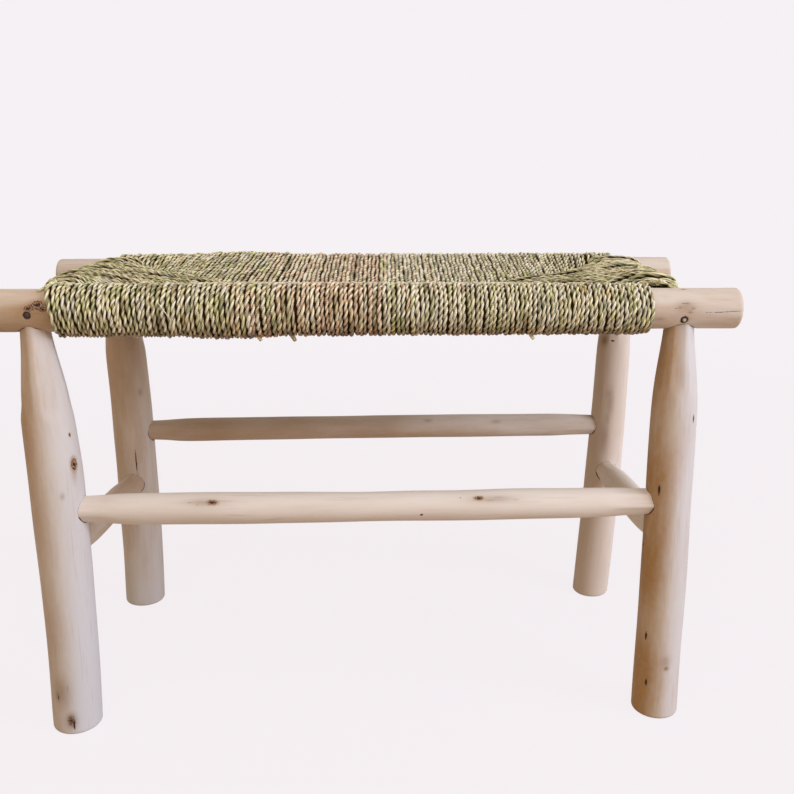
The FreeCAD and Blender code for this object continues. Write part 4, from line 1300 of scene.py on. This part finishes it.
def build_end_section(end, tip, fan, seed):
    """Strands of the left or right wedge; fan tells how loose the outer bends are, front to rear."""
    rng = np.random.default_rng(seed)
    inward = 1 if end == "left" else -1
    reach_y = HALF_DEPTH - END_REACH
    count = round(2 * reach_y / END_PITCH)
    places = np.linspace(-reach_y, reach_y, count) + rng.normal(0, END_SPREAD, count)
    middles, radii = axis_at(axes[f"{end}_end_rail"], places)
    corner_front = front_low.x if end == "left" else front_high.x
    corner_rear = rear_low.x if end == "left" else rear_high.x
    corner = np.where(places < 0, corner_front, corner_rear)
    seam = corner + (tip + inward * TIP_EXTRA - corner) * (1 - np.abs(places) / HALF_DEPTH)
    reaches = inward * (seam - middles[:, 0])
    drop = axes["front_rail"].middles[0, 1] - middles[0, 1]
    rings = radii + CORD_STAND
    loops, run, lengths = belt_loops(rings, reaches, drop, END_POINTS)
    across, up = loops[..., 0], loops[..., 1]
    splay = 1 + np.interp(places, (-reach_y, 0, reach_y), fan)[:, None]
    ring = rings[:, None]
    squarer = ring * np.sign(up) * np.minimum(np.abs(up) / ring, 1) ** END_SQUARE
    up = np.where(across < 0, squarer, up)
    across = np.where(across < 0, across * splay, across)
    share = run / lengths[:, None]
    y = places[:, None] + closed_waves(rng, share, lengths, *END_SWAY)
    lift = closed_waves(rng, share, lengths, *END_LIFT)
    lift = lift + END_PROUD * rng.uniform(0, 1, (count, 1)) ** FEW_PROUD
    lift = lift - END_SINK * smooth_step(0, reach_y, places)[:, None]
    centres = np.stack((middles[:, :1] + inward * across, y, middles[:, 1:] + up + lift), -1)
    centres = clear_of_rails(centres)
    # How far each point is on the underside, which gets painted shade
    under = smooth_step(*UNDERSIDE_SHADE_SPAN, -up / ring)
    mixes = np.tile([END_MIX.get(name, 0) for name in LEAF], (count, 1))
    print(end, "strands:", count)
    widths, offsets = np.full(count, END_WIDTH), np.full(count, SLACK_OFFSET)
    crowns = np.full(run.shape, END_CROWN)
    turns = Turns(centres, run, lengths, under, widths, offsets, crowns, mixes)
    node, rail_way = f"{end}_seat_weave", (0, inward, 0)
    # The second piece is a near-black sheet that paints the shade between the strands
    return [add_strands(f"{end}_cord", node, turns, rail_way, seed + 1),
            add_shade_sheet(f"{end}_stuffing", node, turns, rail_way)]


seat += build_end_section("left", left_tip, LEFT_FAN, 300)
seat += build_end_section("right", right_tip, RIGHT_FAN, 400)

# %% [markdown]
# ## Loose ends
# A hand-made seat has ends: a sliver of leaf that lifts off the front, stubs
# where a new bundle was twisted in, and short cord ends at the corners. Each is
# a tapered tube along a bow between two places, which are found on the wrapped
# rail by where they show in the photograph and then lifted off it a little.

# %% Loose ends
LooseEnd = namedtuple("LooseEnd", "what rail pixels lifts radii leaf")
LOOSE_ENDS = (
    LooseEnd("sliver of leaf", "front_rail", ((157, 303), (172, 320)), (0.5, 1.2), (0.5, 0.35), "pale"),
    LooseEnd("stub of added leaf", "front_rail", ((258, 338), (261, 341)), (-1, 3.5), (2.2, 1.6), "straw"),
    LooseEnd("brown stub", "front_rail", ((292, 340), (295, 343)), (-1, 4), (2.3, 1.7), "umber"),
    LooseEnd("right stub", "front_rail", ((531, 337), (534, 340)), (-1, 3.5), (2.1, 1.5), "straw"),
    LooseEnd("leaf over bare rail", "front_rail", ((56, 279), (35, 287)), (1.5, -5.0), (2.2, 0.8), "olive"),
    LooseEnd("left cord end", "left_end_rail", ((60, 275), (52, 276)), (0, 4), (2.2, 1.6), "umber"),
    LooseEnd("rear cord end", "right_end_rail", ((636, 263), (641, 259)), (0, 5), (2.2, 1.4), "umber"),
    LooseEnd("right cord end", "right_end_rail", ((664, 278), (672, 281)), (0, 6), (2.2, 1.6), "olive"))
END_ROWS, END_COLUMNS = 12, 8
END_BOW = 1.5 * MM
END_FLAT = 0.8
SEARCH_ROWS, SEARCH_COLUMNS = 500, 180


def place_on_wrap(rail, pixel, lift):
    """Point on a wrapped rail that shows nearest to a pixel, moved out by a lift."""
    axis = axes[rail]
    places = np.linspace(axis.places[0], axis.places[-1], SEARCH_ROWS)
    angles = np.linspace(0, 2 * math.pi, SEARCH_COLUMNS, endpoint=False)
    _, radii = axis_at(axis, places)
    wrapped = np.broadcast_to((radii + CORD_STAND + CORD_RADIUS)[:, None], (len(places), len(angles)))
    points = pole_points(axis, places, angles, wrapped)
    row, column = find_mark(points, angles, axis.along, pixel)
    return points[row, column] + lift * MM * outward_ways(angles, axis.along)[column]


def loose_tube(end):
    """Points of a tapered tube: rings round (1-t)^2 p + 2t(1-t) q + t^2 r, then its two tips."""
    start, stop = [place_on_wrap(end.rail, pixel, lift) for pixel, lift in zip(end.pixels, end.lifts)]
    towards_eye = unit(CAMERA_PLACE - start)
    middle = (start + stop) / 2 + END_BOW * towards_eye
    share = np.linspace(0, 1, END_ROWS)[:, None]
    line = (1 - share) ** 2 * start + 2 * share * (1 - share) * middle + share ** 2 * stop
    forward = unit(np.gradient(line, axis=0))
    sideways = unit(np.cross(forward, towards_eye))
    upwards = np.cross(sideways, forward)
    angles = np.linspace(0, 2 * math.pi, END_COLUMNS, endpoint=False)
    radius = np.interp(share, (0, 1), end.radii)[..., None] * MM
    wide = radius * np.cos(angles)[:, None] * sideways[:, None]
    thick = END_FLAT * radius * np.sin(angles)[:, None] * upwards[:, None]
    return np.concatenate(((line[:, None] + wide + thick).reshape(-1, 3), line[[0, -1]]))


def add_loose_ends(rail):
    """Piece of all the loose ends on one rail, in the cord's own material."""
    ends = [end for end in LOOSE_ENDS if end.rail == rail]
    tubes = np.array([loose_tube(end) for end in ends])
    one = capped_faces(END_ROWS, END_COLUMNS)
    shift = np.arange(len(ends))[:, None, None] * tubes.shape[1]
    faces = [(shift + part).reshape(-1, part.shape[1]) for part in one]
    colours = np.repeat([linear(LEAF[end.leaf]) for end in ends], tubes.shape[1], axis=0)
    points = tubes.reshape(-1, 3)
    side = rail.split("_")[0]
    return add_piece(f"{side}_loose_ends", points, faces, {"leaf": colours, "ply": points}, cord,
                     f"{side}_seat_weave")


seat += [add_loose_ends(rail) for rail in ("front_rail", "left_end_rail", "right_end_rail")]
print("cord triangles:", sum(2 * len(piece.data.polygons) for piece in seat))

# %% [markdown]
# ## Floor and light
# The bench stands on a plain pale floor under soft studio light. A large cool
# lamp at the right makes the right sides of the poles pale, and a weaker warm
# fill from all round leaves the left sides tan. The floor and the world are shown
# to the camera in one pale colour, so there is no horizon. Near the bench the
# floor is partly real paper, which keeps the soft shadow of the legs, and it
# throws back only a little warm light, so undersides stay dark.

# %% Stage
FLOOR_REACH = 30
BACKDROP = "#f6f1f4"
FLOOR_BOUNCE = "#c2af9a"
PAPER_NEAR, PAPER_FAR = 0.4, 2.2
PAPER_SHARE = 0.06


def seen_rays(tree):
    """1 for rays from the camera and for those that mirror or pass to it, else 0."""
    glossy, clear, direct = [add_node(tree, "ShaderNodeLightPath", {}, ray)
                             for ray in ("Is Glossy Ray", "Is Transmission Ray", "Is Camera Ray")]
    shiny = add_node(tree, "ShaderNodeMath", {0: glossy, 1: clear}, operation="MAXIMUM")
    return add_node(tree, "ShaderNodeMath", {0: direct, 1: shiny}, operation="MAXIMUM")


floor_material, tree, shader = new_material("matt_paper_sweep")
seen = seen_rays(tree)
colour = add_node(tree, "ShaderNodeMix", {0: seen, MIX_A: linear(FLOOR_BOUNCE), MIX_B: linear(BACKDROP)},
                  MIX_RESULT, data_type="RGBA")
tree.links.new(colour, shader.inputs["Base Color"])
shader.inputs["Roughness"].default_value = 0.9
place = add_node(tree, "ShaderNodeTexCoord", {}, "Object")
distance = add_node(tree, "ShaderNodeVectorMath", {0: place}, "Value", operation="LENGTH")
plain = add_node(tree, "ShaderNodeMapRange",
                 {0: distance, 1: PAPER_NEAR, 2: PAPER_FAR, 3: 1 - PAPER_SHARE, 4: 1})
share = add_node(tree, "ShaderNodeMath", {0: seen, 1: plain}, operation="MULTIPLY")
glow = add_node(tree, "ShaderNodeEmission", {"Color": linear(BACKDROP)})
mix = add_node(tree, "ShaderNodeMixShader", {0: share, 1: shader.outputs[0], 2: glow})
tree.links.new(mix, tree.nodes["Material Output"].inputs["Surface"])

corners = np.array([(-1, -1, 0), (1, -1, 0), (1, 1, 0), (-1, 1, 0)]) * FLOOR_REACH
floor = bpy.data.objects.new("floor", new_mesh("floor", corners, [np.array([[0, 1, 2, 3]])]))
floor.data.materials.append(floor_material)
bpy.context.scene.collection.objects.link(floor)
print("floor nodes:", len(tree.nodes))

# %% Lamps and world
WARM_FILL = "#f1d3aa"
FILL_STRENGTH = 0.46


def add_lamp(name, place, aim, size, power, colour):
    """Square soft lamp at a place, turned to face a point."""
    data = bpy.data.lights.new(name, "AREA")
    data.size = size
    data.energy = power
    data.color = linear(colour)[:3]
    lamp = bpy.data.objects.new(name, data)
    lamp.location = place
    way = unit(np.array(aim) - np.array(place))
    lamp.rotation_euler = (math.acos(-way[2]), 0, math.atan2(way[1], way[0]) - math.pi / 2)
    bpy.context.scene.collection.objects.link(lamp)


add_lamp("right_softbox", (2.1, -1.2, 1.2), (0, 0, 0.25), 1.3, 43, "#e6eeff")
add_lamp("top_softbox", (-0.2, -1.1, 2.1), (0, 0, 0.3), 1.4, 14.5, "#fffdfa")
world = bpy.data.worlds.new("studio")
world.use_nodes = True
tree = world.node_tree
tree.nodes.clear()
fill = add_node(tree, "ShaderNodeBackground", {"Color": linear(WARM_FILL), "Strength": FILL_STRENGTH})
shown = add_node(tree, "ShaderNodeBackground", {"Color": linear(BACKDROP), "Strength": 1})
mix = add_node(tree, "ShaderNodeMixShader", {0: seen_rays(tree), 1: fill, 2: shown})
add_node(tree, "ShaderNodeOutputWorld", {"Surface": mix})
bpy.context.scene.world = world
bpy.context.scene.view_settings.view_transform = "Standard"
print("lamps:", [lamp.name for lamp in bpy.data.lights])
